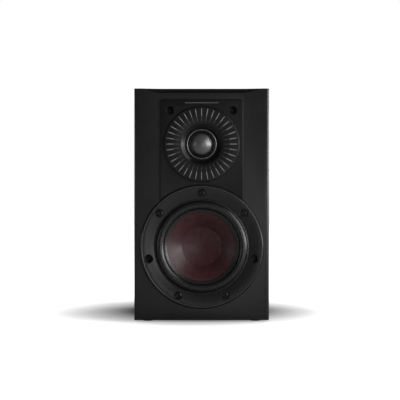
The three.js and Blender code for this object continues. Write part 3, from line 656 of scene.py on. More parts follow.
# What is fixed at equal steps round the woofer flange, as angles from +X towards +Z.
FIXING_RADIUS, FIXING_COUNT = 64.4, 7
SOCKET_POSITIONS = (2, 5)
FIXING_ANGLES = [pi / 2 + 2 * pi * i / FIXING_COUNT for i in range(FIXING_COUNT)]
FIXINGS = [at(WOOFER, FIXING_RADIUS * cos(a), FIXING_RADIUS * sin(a)) for a in FIXING_ANGLES]
SCREWS = [place for i, place in enumerate(FIXINGS) if i not in SOCKET_POSITIONS]
LOWER_SOCKETS = [FIXINGS[i] for i in SOCKET_POSITIONS]
UPPER_SOCKETS = [on_axis_of(f"grille_socket_upper_{side}") for side in ("left", "right")]

FLANGE = radius_of("woofer_basket")
FIT = 0.3
SOCKET_HOLE, SOCKET_DEPTH = 4.6, 11.5


def faceplate_outline(grow, foot):
    """The tweeter plate's outline, with its foot on an arc of a given radius about the woofer's axis."""
    x = size_of("tweeter_faceplate")[0] / 2 + grow
    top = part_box("tweeter_faceplate")[1].z / MM + grow
    woofer_z = middle("woofer_basket").z / MM
    corner = 5 + grow
    start = acos(x / foot)
    angles = spread(pi - start, start, 61)
    arc = [(foot * cos(a), woofer_z + foot * sin(a)) for a in angles]
    return [*arc, (x, top, corner), (-x, top, corner)]


def scoop():
    """The cutter for the finger scoop, a chamfer of the top edge that fades out towards both corners."""
    HALF_LENGTH, FADE_END = 51.5, 74
    DROP, SETBACK, OUTSIDE = 5.6, 5, 4
    mesh = bmesh.new()
    for side in (-1, 1):
        for x, depth, z in (
            (HALF_LENGTH, 0, -DROP), (HALF_LENGTH, -OUTSIDE, -DROP), (HALF_LENGTH, SETBACK, 0),
            (HALF_LENGTH, SETBACK, OUTSIDE), (FADE_END, 0, 0), (FADE_END, -OUTSIDE, OUTSIDE),
        ):
            mesh.verts.new(FRONT_PLANE @ (Vector((side * x, depth, CABINET_TOP + z)) * MM))
    hull = bmesh.ops.convex_hull(mesh, input=mesh.verts)
    bmesh.ops.delete(mesh, geom=hull["geom_interior"], context="VERTS")
    return object_of(mesh)


def front_baffle():
    """The thick front board, with rounded upright edges and the pockets that its drive units sit in."""
    EDGE, SEAM, EASE = 3, 0.6, 0.5
    FLANGE_POCKET, PLATE_POCKET, PLATE_OVERLAP = 3, 2.5, 4
    WOOFER_CUTOUT, TWEETER_CUTOUT, PILOT_HOLE = 58.8, 36, 2.3
    right = [
        *[(HALF_WIDTH - EDGE + EDGE * sin(a), -EDGE + EDGE * cos(a)) for a in spread(0, pi / 2, 17)],
        (HALF_WIDTH, SEAM - BAFFLE),
        (HALF_WIDTH - SEAM, -BAFFLE),
    ]
    # The plan is drawn in X and Z, so it is turned to lie in X and Y and rise along Z.
    plan = [*[(-x, z) for x, z in reversed(right)], *right]
    upright = Matrix.Translation((0, FRONT, 0)) @ Matrix.Rotation(pi / 2, 4, "X")
    obj = prism(plan, CABINET_FLOOR, CABINET_TOP, upright)
    eased(cut(obj, scoop()), EASE, angle=20)
    through = BAFFLE + PAST
    cut(
        obj,
        *holes(FLANGE + FIT, -PAST, FLANGE_POCKET, [WOOFER], LARGE),
        *holes(WOOFER_CUTOUT, -PAST, through, [WOOFER], LARGE),
        prism(faceplate_outline(FIT, FLANGE - PLATE_OVERLAP), -PAST, PLATE_POCKET, FRONT_PLANE),
        *holes(TWEETER_CUTOUT, -PAST, through, [TWEETER], MEDIUM),
        *holes(SOCKET_HOLE, -PAST, SOCKET_DEPTH, LOWER_SOCKETS + UPPER_SOCKETS),
        *holes(PILOT_HOLE, -PAST, through, SCREWS, TINY),
    )
    stand_for(obj, "front_baffle")


def wrapped_panel(node, half_length, level, turn):
    """A side of the wrapped box: mitred at both ends, with half of each outer corner's small radius."""
    ROUND = 0.8
    x, z = half_length - ROUND, level - ROUND
    corner = [(x + ROUND * sin(a), z + ROUND * cos(a)) for a in spread(0, pi / 4, 5)]
    inner = (half_length - PANEL, level - PANEL)
    mirrored = [(-x, z) for x, z in [inner, *reversed(corner)]]
    centre_z = (CABINET_FLOOR + CABINET_TOP) / 2
    place = Matrix.Translation((0, FRONT, centre_z * MM)) @ Matrix.Rotation(turn, 4, "Y")
    obj = prism([*corner, inner, *mirrored], BAFFLE, REAR_FACE, place)
    stand_for(eased(obj, 0.35, angle=50), node, "panel")


def cabinet():
    half_height = (CABINET_TOP - CABINET_FLOOR) / 2
    wrapped_panel("top_panel", HALF_WIDTH, half_height, 0)
    wrapped_panel("right_side_panel", half_height, HALF_WIDTH, pi / 2)
    wrapped_panel("bottom_panel", HALF_WIDTH, half_height, pi)
    wrapped_panel("left_side_panel", half_height, HALF_WIDTH, -pi / 2)


CUP_WELL, CUP_WALL, CUP_FLOOR_DEPTH = (78, 52), 2, 206
CUP_CORNER = 5
CUP_SCREWS = [at(CUP, x, z) for z in (-32.5, 32.5) for x in (-42.5, 42.5)]
PORT_COLLAR = 29


def rear_panel():
    PILOT_HOLE, CORNER = 1.8, 0.3
    obj = slab("rear_panel", CORNER, REAR_INSIDE, REAR_FACE)
    shell = [side + 2 * (CUP_WALL + FIT) for side in CUP_WELL]
    near, far = REAR_INSIDE - PAST, REAR_FACE + PAST
    cut(
        obj,
        *holes(PORT_COLLAR + FIT, near, far, [PORT], MEDIUM),
        prism(rectangle(*shell, CUP_CORNER + FIT), near, far, CUP),
        *holes(PILOT_HOLE, near, far, CUP_SCREWS, TINY),
    )
    stand_for(obj, "rear_panel", "panel")


def feet():
    """Moulded rubber feet with a rounded rim and a shallow dished sole."""
    for node in (f"foot_{end}_{side}" for end in ("front", "rear") for side in ("left", "right")):
        width, _, tall = size_of(node)
        outer = width / 2
        dish = [(0, 0.25), (3, 0.25, 0.5), (3.8, 0, 0.4)]
        section = [*dish, (outer - 0.8, 0, 0.5), (outer, tall, 0.2), (0, tall)]
        centre = middle(node)
        sole = Matrix.Translation((centre.x, centre.y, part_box(node)[0].z))
        turn_for(node, section, sole @ Matrix.Rotation(pi / 2, 4, "X"), SMALL)


def damping_pad():
    """A slab of wadding: remeshed, then puffed up as cloth with a little pressure inside."""
    VOXEL = MARGIN = 0.006
    node = "damping_pad"
    low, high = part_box(node)
    mesh = bmesh.new()
    bmesh.ops.create_cube(mesh, size=1)
    inner = high - low - Vector((MARGIN, MARGIN, MARGIN))
    place = Matrix.Translation(middle(node)) @ Matrix.Diagonal((*inner, 1))
    bmesh.ops.transform(mesh, matrix=place, verts=mesh.verts)
    obj = object_of(mesh)
    remesh = obj.modifiers.new("remesh", "REMESH")
    remesh.mode = "VOXEL"
    remesh.voxel_size = VOXEL
    applied(obj)
    puffed(obj)
    matted(obj, low, high)
    smooth = obj.modifiers.new("smooth", "SUBSURF")
    smooth.levels = smooth.render_levels = 1
    applied(obj)
    stand_for(obj, node)


def puffed(obj):
    """Cloth simulation with pressure and no gravity. No point may move further than a set distance."""
    PRESSURE, FRAMES, MOST = 2.5, 14, 0.005
    rest = [vertex.co.copy() for vertex in obj.data.vertices]
    settings = obj.modifiers.new("cloth", "CLOTH").settings
    settings.use_pressure = True
    settings.uniform_pressure_force = PRESSURE
    settings.effector_weights.gravity = 0
    for step in range(1, FRAMES + 1):
        scene.frame_set(step)
    applied(obj)
    scene.frame_set(1)
    for vertex, start in zip(obj.data.vertices, rest):
        moved = vertex.co - start
        if moved.length > MOST:
            vertex.co = start + moved.normalized() * MOST


def matted(obj, low, high):
    """Uneven tufts over a soft slab, kept inside its own space."""
    SEED, LOWEST, HIGHEST, GAP = 7, -0.0012, 0.0006, 0.0002
    draw = random.Random(SEED)
    for vertex in obj.data.vertices:
        vertex.co += vertex.normal * draw.uniform(LOWEST, HIGHEST)
        vertex.co = Vector([min(max(vertex.co[k], low[k] + GAP), high[k] - GAP) for k in range(3)])


# ---- Woofer

CONE_RIM, NECK = radius_of("woofer_cone"), 13
CONE_RIM_DEPTH, CONE_NECK_DEPTH, CONE_NECK_SLOPE = 1.2, 22, 0.95
CONE_THICKNESS = 0.8
SEAT, SEAT_DEPTH = 57.4, 2
FLANGE_FACE, FLANGE_BACK = depths_of("woofer_basket")[0], 1.9
DISH, DISH_START, DISH_DROP = 71.2, -2.5, 2.8


def cone_depth(radius):
    """The depth of the cone's front face: steep at the neck and shallow at the rim."""
    run = CONE_RIM - NECK
    along = max(0.0, (radius - NECK) / run)
    levelling = CONE_NECK_SLOPE * run - (CONE_NECK_DEPTH - CONE_RIM_DEPTH)
    return CONE_NECK_DEPTH - CONE_NECK_SLOPE * run * along + levelling * along**2


def dish_depth(radius):
    """The depth of the flange's face, which dips towards the cone in a quarter-wave."""
    along = (DISH - radius) / (DISH - SEAT)
    return DISH_START + DISH_DROP * (1 - cos(along * pi / 2))


def woofer_basket():
    """A moulded chassis: a dished flange, a cage with six windows, and the seat of the magnet."""
    rear = depths_of("woofer_basket")[1]
    WINDOWS, WINDOW_WIDTH = 6, 30
    section = [
        (FLANGE, FLANGE_BACK, 0.2), (FLANGE, -1.6, 0.6), (FLANGE - 1.2, FLANGE_FACE, 0.5),
        (DISH + 0.45, FLANGE_FACE, 0.3), (DISH, DISH_START, 0.12),
        *[(r, dish_depth(r)) for r in spread(DISH - 0.5, SEAT + 0.5, 24)],
        (SEAT, 0.3, 0.3), (SEAT - 0.2, SEAT_DEPTH), (55, SEAT_DEPTH),
        (54, 7, 1), (40, 23, 1), (38, 26), (33.5, 26), (33.5, 31.5, 1), (18, 31.5),
        (18, rear), (38.5, rear, 1), (43.5, 25, 1.5), (57.5, 9, 1.5), (58, FLANGE_BACK),
    ]
    obj = turned(section, WOOFER, LARGE)
    x = WINDOW_WIDTH / 2
    for i in range(WINDOWS):
        turn = WOOFER @ Matrix.Rotation(2 * pi * i / WINDOWS, 4, "Y")
        cut(obj, eased(prism([(30, -x), (66, -x), (66, x), (30, x)], 9.5, 22.5, turn), 2.5, 4))
    seat = [(0, -PAST), (5.5, -PAST), (5.5, -2.05), (4.9, -1.2, 0.4), (4.9, 0.3, 0.3)]
    seat += [(2.3, 0.3), (2.3, 4), (0, 4)]
    rim = [(0, -PAST), (5.7, -PAST), (5.7, -2.05), (5.1, -1.4, 0.3), (5.1, -0.6)]
    socket = [*rim, (SOCKET_HOLE, -0.6), (SOCKET_HOLE, 4), (0, 4)]
    for places, recess in ((SCREWS, seat), (LOWER_SOCKETS, socket)):
        cut(obj, *[turned(recess, place, SMALL) for place in places])
    stand_for(obj, "woofer_basket")


def flange_bead():
    """A fine raised bead round the flange's lip, coloured paler than the flange as a painted highlight, a
    bright ring all round.
    """
    RADIUS, HALF, PROUD = 72.2, 0.55, 0.12
    root, crest = FLANGE_FACE + 0.3, FLANGE_FACE - PROUD
    section = [
        (RADIUS - HALF, root), (RADIUS - HALF, FLANGE_FACE, 0.1), (RADIUS - HALF / 2, crest, 0.2),
        (RADIUS + HALF / 2, crest, 0.2), (RADIUS + HALF, FLANGE_FACE, 0.1), (RADIUS + HALF, root),
    ]
    carrier = "woofer_basket"
    extra(turned(section, WOOFER, LARGE), "flange_bead", carrier, SLOT_OF[carrier], "flange_bead")


def woofer_gasket():
    SCREW_HOLE, INNER, OUTER = 2.6, 59, 72.5
    near, far = depths_of("woofer_gasket")
    section = [(INNER, near, 0.2), (OUTER, near, 0.2), (OUTER, far), (INNER, far)]
    obj = turned(section, WOOFER)
    cut(obj, *holes(SCREW_HOLE, near - PAST, far + PAST, SCREWS, TINY))
    cut(obj, *holes(SOCKET_HOLE + FIT, near - PAST, far + PAST, LOWER_SOCKETS))
    stand_for(obj, "woofer_gasket")


def woofer_surround():
    """A half-roll of rubber between a landing on the chassis and one glued over the cone's rim."""
    node = "woofer_surround"
    THICKNESS, HEIGHT, LIFT = 0.8, 4.1, 0.15
    ROLL_OUTER, INNER = 55.2, 41.5
    landing = SEAT_DEPTH - 0.1
    centre = (ROLL_OUTER + CONE_RIM) / 2
    half = (ROLL_OUTER - CONE_RIM) / 2

    def arch(reach, height, angles):
        return [(centre + reach * cos(a), landing - THICKNESS - height * sin(a)) for a in angles]

    def on_cone(radius, above):
        return radius, cone_depth(radius) - above

    outer_edge = radius_of(node)
    section = [
        (outer_edge, landing), (outer_edge, landing - THICKNESS, 0.3),
        (ROLL_OUTER + 0.5, landing - THICKNESS, 0.5),
        *arch(half, HEIGHT, spread(0.12, pi - 0.12, 40)),
        (*on_cone(CONE_RIM - 0.5, THICKNESS + LIFT), 0.4),
        *[on_cone(r, THICKNESS + LIFT) for r in spread(CONE_RIM - 1, INNER + 0.4, 5)],
        (*on_cone(INNER, THICKNESS + LIFT), 0.3),
        on_cone(INNER, LIFT), on_cone(CONE_RIM, LIFT),
        *arch(half - THICKNESS, HEIGHT - THICKNESS, spread(pi - 0.25, 0.25, 24)),
        (ROLL_OUTER - 0.6, landing),
    ]
    obj = turned(section, WOOFER, LARGE)
    stretch_between(obj, node)


def woofer_cone():
    radii = spread(CONE_RIM, NECK + 0.1, 48)
    turn_for("woofer_cone", shell([(r, cone_depth(r)) for r in radii], CONE_THICKNESS), WOOFER, LARGE)


def dust_cap():
    """A shallow dish of the cone's paper, glued on by its rim."""
    node = "woofer_dust_cap"
    edge = radius_of(node)
    DEPTH, THICKNESS, STEP, GLUED = 3.6, 0.5, 0.17, 1.5
    rim = cone_depth(edge) - STEP

    def dish(radius, lift):
        return radius, rim + DEPTH * (1 - (radius / edge) ** 2) + lift

    front = [dish(r, 0) for r in spread(edge - 0.2, 0, 24)]
    back = [dish(r, THICKNESS) for r in spread(0, edge - GLUED, 24)]
    turn_for(node, [(edge, cone_depth(edge) - 0.02), *front, *back], WOOFER)


def woofer_motor():
    """The front plate, the ring magnet, and the yoke with its pole and a vent boss."""
    PLATE_FRONT, GAP, POLE, RIM = 34.2, 13.9, 12, 36
    magnet_near, magnet_far = depths_of("woofer_magnet")
    yoke_far = depths_of("woofer_yoke")[1]
    plate_far, yoke_near = magnet_near - 0.1, magnet_far + 0.1
    sections = {
        "woofer_top_plate": [
            (GAP, PLATE_FRONT, 0.3), (RIM, PLATE_FRONT, 0.6), (RIM, plate_far, 0.4), (GAP, plate_far, 0.3),
        ],
        "woofer_magnet": ring(18, 40, magnet_near, magnet_far, 0.6, 1),
        "woofer_yoke": [
            (0, PLATE_FRONT), (POLE, PLATE_FRONT, 0.5), (POLE, yoke_near), (RIM, yoke_near),
            (RIM, yoke_far, 1.2), (6, yoke_far, 0.6), (5, yoke_far - 1, 0.4), (0, yoke_far - 1),
        ],
    }
    for node, section in sections.items():
        turn_for(node, section, WOOFER)


def ridges(start, pitch, count, valley, crest):
    """The zigzag of a winding or a thread along its axis, as (radius, depth)."""
    steps = [start + i * pitch for i in range(count)]
    return [point for base in steps for point in ((valley, base), (crest, base + pitch / 2))]


def woofer_voice_coil():
    """The former, with a winding whose turns show as ridges."""
    FORMER, SKIN, WINDING = 12.4, 12.75, 13.3
    VALLEY, START, END, PITCH = WINDING - 0.15, 31.7, 41.7, 0.5
    near, far = depths_of("woofer_voice_coil")
    winding = ridges(START, PITCH, int((END - START) / PITCH), VALLEY, WINDING)
    section = [(FORMER, near), (SKIN, near), (SKIN, START), *winding, (VALLEY, END), (SKIN, END)]
    section += [(SKIN, far), (FORMER, far)]
    turn_for("woofer_voice_coil", section, WOOFER)


def woofer_spider():
    """Concentric waves of cloth, from a collar on the voice coil to the chassis ledge."""
    node = "woofer_spider"
    THICKNESS, WAVES, COLLAR, EDGE = 0.5, 4, 13.1, 37.6
    WAVES_FROM, WAVES_TO, SPARE = 16, 33, 0.05
    near, far = depths_of(node)
    level, swing = (near + far - THICKNESS) / 2, (far - near - THICKNESS) / 2 - SPARE

    def wave(radius):
        along = (radius - WAVES_FROM) / (WAVES_TO - WAVES_FROM)
        inside = 0 <= along <= 1
        return level + (swing * sin(2 * pi * WAVES * along) if inside else 0)

    radii = [COLLAR, *spread(WAVES_FROM, WAVES_TO, 72), EDGE]
    obj = turned(shell([(r, wave(r)) for r in radii], THICKNESS), WOOFER)
    stretch_between(obj, node)


def woofer_screws():
    """Button-head screws with a hexagon socket."""
    HEAD, SHANK, TOP, UNDER = 4.1, 1.9, -1.5, 0.2
    KEY, KEY_DEPTH = 2.2, 1.5
    section = [
        (0, TOP + 0.15), (1.6, TOP, 0.6), (HEAD - 0.9, TOP + 0.15, 0.5), (HEAD, TOP + 0.8, 0.35),
        (HEAD, UNDER, 0.15), (SHANK, UNDER), (SHANK, BAFFLE - 2), (0, BAFFLE + 0.4),
    ]
    place = SCREWS[0]
    hexagon = [(KEY * cos(k * pi / 3), KEY * sin(k * pi / 3)) for k in range(6)]
    screw = turned(section, place, SMALL)
    cut(screw, prism(hexagon, TOP - PAST, TOP + KEY_DEPTH, place))
    numbered("woofer_screw", SCREWS, eased(screw, 0.12, 2, 50))


def grille_sockets():
    """Push-fit cups that hold the grille's pins."""
    BODY, BORE, WALL, LIP = 4.2, 3.4, 1.4, 1.2
    for which in ("upper_left", "upper_right", "lower_left", "lower_right"):
        node = f"grille_socket_{which}"
        near, far = depths_of(node)
        rim = radius_of(node)
        section = [
            (0, far), (BODY, far, 0.6), (BODY, near + LIP), (rim, near + LIP, 0.2), (rim, near, 0.35),
            (BORE + 0.8, near, 0.3), (BORE, near + 1, 0.4), (BORE, far - WALL, 0.4), (0, far - WALL),
        ]
        turn_for(node, section, on_axis_of(node), SMALL)


def terminal_strip():
    """The tag strip on the chassis leg: a plate with two rivets."""
    RIVET_X, PLATE_DROP = 5.5, 0.3
    node = "woofer_terminal_strip"
    near, far = depths_of(node)
    head = [(0, near), (1.2, near, 0.3), (1.5, near + 0.4), (0, near + 0.4)]
    plate = eased(slab(node, 1.2, near + PLATE_DROP, far), 0.15, 2)
    rivets = [turned(head, at(on_axis_of(node), x, 0), TINY) for x in (-RIVET_X, RIVET_X)]
    stand_for(joined([plate, *rivets]), node)


def tinsel_leads():
    """Braided leads that run between the tag strip and the cone."""
    RADIUS, FLEX_END = 0.55, 18
    route = [
        (10, 18.4, 52.5), (12, 17.2, 46.5), (10.6, 14.2, 37), (7.2, 15.6, 27), (4.6, 19.8, 18.4),
        (3.9, 20.9, 16.2),
    ]
    for side, sign in (("left", -1), ("right", 1)):
        node = f"tinsel_lead_{side}"
        points = [WOOFER @ (Vector((sign * x, depth, z)) * MM) for x, depth, z in route]
        obj = tube(points, RADIUS)
        replace(obj, node)
        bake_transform(obj)


# ---- Tweeter

PLATE_FRONT = depths_of("tweeter_faceplate")[0]
DISC = radius_of("tweeter_waveguide")
DISC_FRONT = depths_of("tweeter_waveguide")[0]
FLAT_END = 33.2
MOUTH_EDGE, MOUTH_DROP = 24.7, 0.6


def tweeter_faceplate():
    """The raised plate, with a collar behind it, a pocket for the disc and two grille sockets."""
    BACK, DISC_POCKET, THROAT = 2.4, 0, 26.5
    outline = faceplate_outline(0, FLANGE + 2 * FIT)
    obj = prism(outline, PLATE_FRONT, BACK, FRONT_PLANE)
    eased(obj, 0.45, 4, 40)
    join(obj, turned([(24, 1.9), (33.5, 1.9), (33.5, 5.1, 0.4), (24, 5.1)], TWEETER))
    recess = [(0, -PAST), (5.5, -PAST), (5.5, PLATE_FRONT), (5.2, PLATE_FRONT + 0.3), (5.2, -0.1)]
    recess += [(SOCKET_HOLE, -0.1), (SOCKET_HOLE, 5), (0, 5)]
    cut(
        obj,
        *holes(DISC + FIT, -PAST, DISC_POCKET, [TWEETER], LARGE),
        *holes(THROAT, -PAST, PAST, [TWEETER], MEDIUM),
        *[turned(recess, place, SMALL) for place in UPPER_SOCKETS],
    )
    stand_for(obj, "tweeter_faceplate", "faceplate")


def tweeter_waveguide():
    """The disc that carries the scale, and the short horn in its middle."""
    front = DISC_FRONT
    section = [
        (DISC, -0.1), (DISC, front + 1, 0.4), (DISC - 1, front, 0.45), (FLAT_END, front, 2.5),
        (MOUTH_EDGE, front + MOUTH_DROP, 0.5), (19.8, front + 4.7, 0.5), (19.5, front + 6.6, 0.3),
        (19.5, front + 7.4), (21.3, front + 7.4), (25.6, -0.1),
    ]
    turn_for("tweeter_waveguide", section, TWEETER, LARGE, 8, "faceplate")


def disc_depth(radius):
    """The depth of the disc's face, which slopes gently from its flat to the mouth."""
    if radius >= FLAT_END:
        return DISC_FRONT
    return DISC_FRONT + MOUTH_DROP * (FLAT_END - radius) / (FLAT_END - MOUTH_EDGE)


def scale_marks(name, inner, outer, width, finish):
    """Thirty-six raised radial lines, equally spaced, that follow the disc's face."""
    COUNT, PROUD, ROOT, TIP_SHARE = 36, 0.07, 0.25, 0.55
    mesh = bmesh.new()
    for i in range(COUNT):
        turn = TWEETER @ Matrix.Rotation(2 * pi * i / COUNT, 4, "Y")
        rows = []
        for radius in spread(inner, outer, 5):
            x = width / 2 * (TIP_SHARE if radius in (inner, outer) else 1)
            root, crest = disc_depth(radius) + ROOT, disc_depth(radius) - PROUD
            corners = [(-x, root), (x, root), (x, crest), (-x, crest)]
            rows.append([mesh.verts.new(turn @ (Vector((x, depth, radius)) * MM)) for x, depth in corners])
        mesh.faces.new(rows[0])
        mesh.faces.new(rows[-1])
        for one, other in zip(rows, rows[1:]):
            for k in range(4):
                n = (k + 1) % 4
                mesh.faces.new([one[k], one[n], other[n], other[k]])
    extra(object_of(mesh), name, "tweeter_waveguide", "trim_metal", finish)


def plate_rule():
    """A plain thin line printed across the top of the plate."""
    LENGTH, HEIGHT, CORNER, BELOW_TOP = 40.6, 0.9, 0.4, 4.3
    PROUD, ROOT = 0.06, 0.3
    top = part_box("tweeter_faceplate")[1].z / MM
    outline = rectangle(LENGTH, HEIGHT, CORNER)
    obj = prism(outline, PLATE_FRONT - PROUD, PLATE_FRONT + ROOT, at(FRONT_PLANE, 0, top - BELOW_TOP))
    extra(obj, "faceplate_rule", "tweeter_faceplate", "trim_metal", "printed_rule")


def tweeter_trim_ring():
    near, far = depths_of("tweeter_trim_ring")
    shoulder = near + 0.6
    section = [
        (16.3, far), (16.5, shoulder, 0.3), (17.0, near, 0.3), (17.7, near, 0.3), (18.2, shoulder, 0.3),
        (18.2, far),
    ]
    turn_for("tweeter_trim_ring", section, TWEETER)


def tweeter_dome():
    node = "tweeter_dome"
    EDGE, THICKNESS, RISE, ROUNDNESS = radius_of(node), 0.4, 6.0, 0.74
    base = depths_of(node)[1] - THICKNESS
    radii = [EDGE * sin(a) for a in spread(pi / 2, 0, 40)]
    front = [(r, base - RISE * (1 - (r / EDGE) ** 2) ** ROUNDNESS) for r in radii]
    turn_for(node, shell(front, THICKNESS), TWEETER)


def tweeter_surround():
    node = "tweeter_surround"
    INNER, OUTER, THICKNESS, ROLL, FOOT = 13.05, 16.1, 0.35, 1.2, 4.0
    centre, half = (INNER + OUTER) / 2, (OUTER - INNER) / 2
    front = [(centre + half * cos(a), FOOT - ROLL * sin(a)) for a in spread(0, pi, 17)]
    obj = turned(shell(front, THICKNESS), TWEETER)
    stretch_between(obj, node, "tweeter_surround")


def tweeter_motor():
    """The voice coil, and the plate, ring magnet and yoke round it."""
    yoke_near, yoke_far = depths_of("tweeter_yoke")
    back_plate = depths_of("tweeter_magnet")[1] + 0.1
    sections = {
        "tweeter_voice_coil": ring(12.5, 12.85, *depths_of("tweeter_voice_coil")),
        "tweeter_top_plate": ring(13.6, 33, *depths_of("tweeter_top_plate"), 0.2, 0.4),
        "tweeter_magnet": ring(17, 34, *depths_of("tweeter_magnet"), 0.4, 0.8),
        "tweeter_yoke": [
            (0, yoke_near), (12, yoke_near, 0.4), (12, back_plate), (31, back_plate), (31, yoke_far, 0.8),
            (0, yoke_far),
        ],
    }
    for node, section in sections.items():
        turn_for(node, section, TWEETER)


# ---- Rear: port, terminal cup, binding posts and crossover

REAR_TRIM_FACE = depths_of("terminal_cup")[1]
COLOURS = ("black", "red")
POSTS = [on_axis_of(f"binding_post_{colour}") for colour in COLOURS]
STUD = 3
STUD_HOLE = STUD + FIT


def port_tube():
    """A reflex port with a flared mouth and a collar that sits in the rear panel."""
    BORE, MOUTH, FLARE, TUBE = 19, 27, 14, 21.5
    rim = radius_of("port_tube")
    inner_end, mouth = depths_of("port_tube")
    angles = spread(0, pi / 2, 20)
    flare = [(MOUTH - (MOUTH - BORE) * sin(a), mouth - FLARE * (1 - cos(a))) for a in angles]
    section = [
        (rim, REAR_FACE + 0.1), (rim, mouth - 0.6, 0.3), (rim - 0.6, mouth, 0.4),
        *flare,
        (BORE, inner_end + 4, 2), (BORE + 2, inner_end, 0.8), (TUBE, inner_end + 1.5, 0.5),
        (TUBE, mouth - FLARE - 2, 1), (PORT_COLLAR, REAR_FACE - 5, 1), (PORT_COLLAR, REAR_FACE + 0.1),
    ]
    turn_for("port_tube", section, PORT, 128)


def terminal_cup():
    """A recessed cup: its flange, its shell, the well with an eased lip, and the holes in them."""
    LIP_WIDTH, LIP_DEPTH, WELL_CORNER = 1.2, 0.6, 4
    node = "terminal_cup"
    shell = [side + 2 * CUP_WALL for side in CUP_WELL]
    lip = [side + LIP_WIDTH for side in CUP_WELL]
    past = REAR_TRIM_FACE + PAST
    body = prism(rectangle(*shell, CUP_CORNER), CUP_FLOOR_DEPTH - CUP_WALL, REAR_FACE + 1, CUP)
    well = prism(rectangle(*CUP_WELL, WELL_CORNER), CUP_FLOOR_DEPTH, past, CUP)
    obj = eased(slab(node, WELL_CORNER, REAR_FACE + 0.1, REAR_TRIM_FACE), 0.5, 4, 40)
    join(obj, eased(body, 0.8, 3, 60))
    cut(
        obj,
        eased(well, 1.2, 4, 60),
        prism(rectangle(*lip, WELL_CORNER + LIP_DEPTH), REAR_TRIM_FACE - LIP_DEPTH, past, CUP),
        *holes(STUD_HOLE, CUP_FLOOR_DEPTH - PAST, CUP_FLOOR_DEPTH + PAST, POSTS),
        *[turned(countersink(FIT, 6), place, SMALL) for place in CUP_SCREWS],
    )
    stand_for(obj, node)


def countersink(clearance, length):
    """A countersunk screw's section, or its hole's where the clearance isn't nothing."""
    HEAD, SHANK, POINT = 3.3 + clearance, 1.5 + clearance, 2
    flush = REAR_TRIM_FACE
    end = flush - length
    neck = (SHANK, flush - HEAD + SHANK)
    if clearance:
        return [(0, flush + 1), (HEAD, flush + 1), (HEAD, flush), neck, (SHANK, end), (0, end)]
    return [(0, flush), (HEAD, flush, 0.15), neck, (SHANK, end + POINT), (0, end)]


def cup_screws():
    """Countersunk screws with a cross recess."""
    CROSS, SLOT, RECESS = 3.2, 0.8, 1.1
    near = depths_of("cup_screw_1")[0]
    place = CUP_SCREWS[0]
    screw = turned(countersink(0, REAR_TRIM_FACE - near), place, SMALL)
    for size in ((CROSS, SLOT), (SLOT, CROSS)):
        cut(screw, prism(rectangle(*size, 0.2), REAR_TRIM_FACE - RECESS, REAR_TRIM_FACE + PAST, place))
    numbered("cup_screw", CUP_SCREWS, screw)


def binding_posts():
    """Gold-plated posts: a plug socket down the stud, a collar, and the jam nuts behind the cup."""
    JAM_NUT, COLLAR, SOCKET, SOCKET_LENGTH = 5.6, 8, 2.1, 11
    floor, inside = CUP_FLOOR_DEPTH, CUP_FLOOR_DEPTH - CUP_WALL
    thread = ridges(floor + 3, 1, 12, STUD - 0.35, STUD)
    for colour in COLOURS:
        node = f"binding_post_{colour}"
        near, far = depths_of(node)
        section = [
            (0, near), (STUD, near, 0.4), (STUD, 189.8), (JAM_NUT, 189.8, 0.4), (JAM_NUT, 192.6, 0.4),
            (STUD, 192.6), (STUD, inside - 3.1), (JAM_NUT, inside - 3.1, 0.4), (JAM_NUT, inside - 0.1, 0.3),
            (STUD, inside - 0.1), (STUD, floor + 0.1), (COLLAR, floor + 0.1, 0.3), (COLLAR, floor + 2, 0.5),
            (STUD, floor + 2), *thread, (STUD, floor + 15.5), (STUD, far - 1, 0.5), (2.6, far, 0.3),
            (SOCKET, far - 0.5, 0.2), (SOCKET, far - SOCKET_LENGTH), (0, far - SOCKET_LENGTH),
        ]
        turn_for(node, section, on_axis_of(node), SMALL, 3)
        washer = f"clamp_washer_{colour}"
        section = ring(STUD_HOLE, radius_of(washer), *depths_of(washer), 0.2, 0.4)
        turn_for(washer, section, on_axis_of(washer), SMALL)


def thumb_nuts():
    """Fluted plastic sleeves with eased ends and a plain collar at the cup's side."""
    BODY, FLUTE, FLUTES, POINTS, SHARPNESS = 8.5, 0.9, 12, 144, 1.5
    COLLAR, COLLAR_END = BODY - 0.3, 3
    outline = []
    for k in range(POINTS):
        angle = 2 * pi * k / POINTS
        radius = BODY - FLUTE * max(0.0, cos(FLUTES * angle)) ** SHARPNESS
        outline.append((radius * cos(angle), radius * sin(angle)))
    for colour in COLOURS:
        node = f"thumb_nut_{colour}"
        place = on_axis_of(node)
        near, far = depths_of(node)
        end = near + COLLAR_END
        obj = eased(prism(outline, end, far, place), 0.7, 4, 60)
        join(obj, turned([(0, near), (COLLAR, near, 0.4), (COLLAR, end + 0.4, 0.3), (0, end + 0.4)], place))
        bore = [(0, near - PAST), (STUD_HOLE, near - PAST), (STUD_HOLE, far - 0.8)]
        bore += [(STUD_HOLE + 1, far + 0.2), (STUD_HOLE + 1, far + PAST), (0, far + PAST)]
        stand_for(cut(obj, turned(bore, place, SMALL)), node)


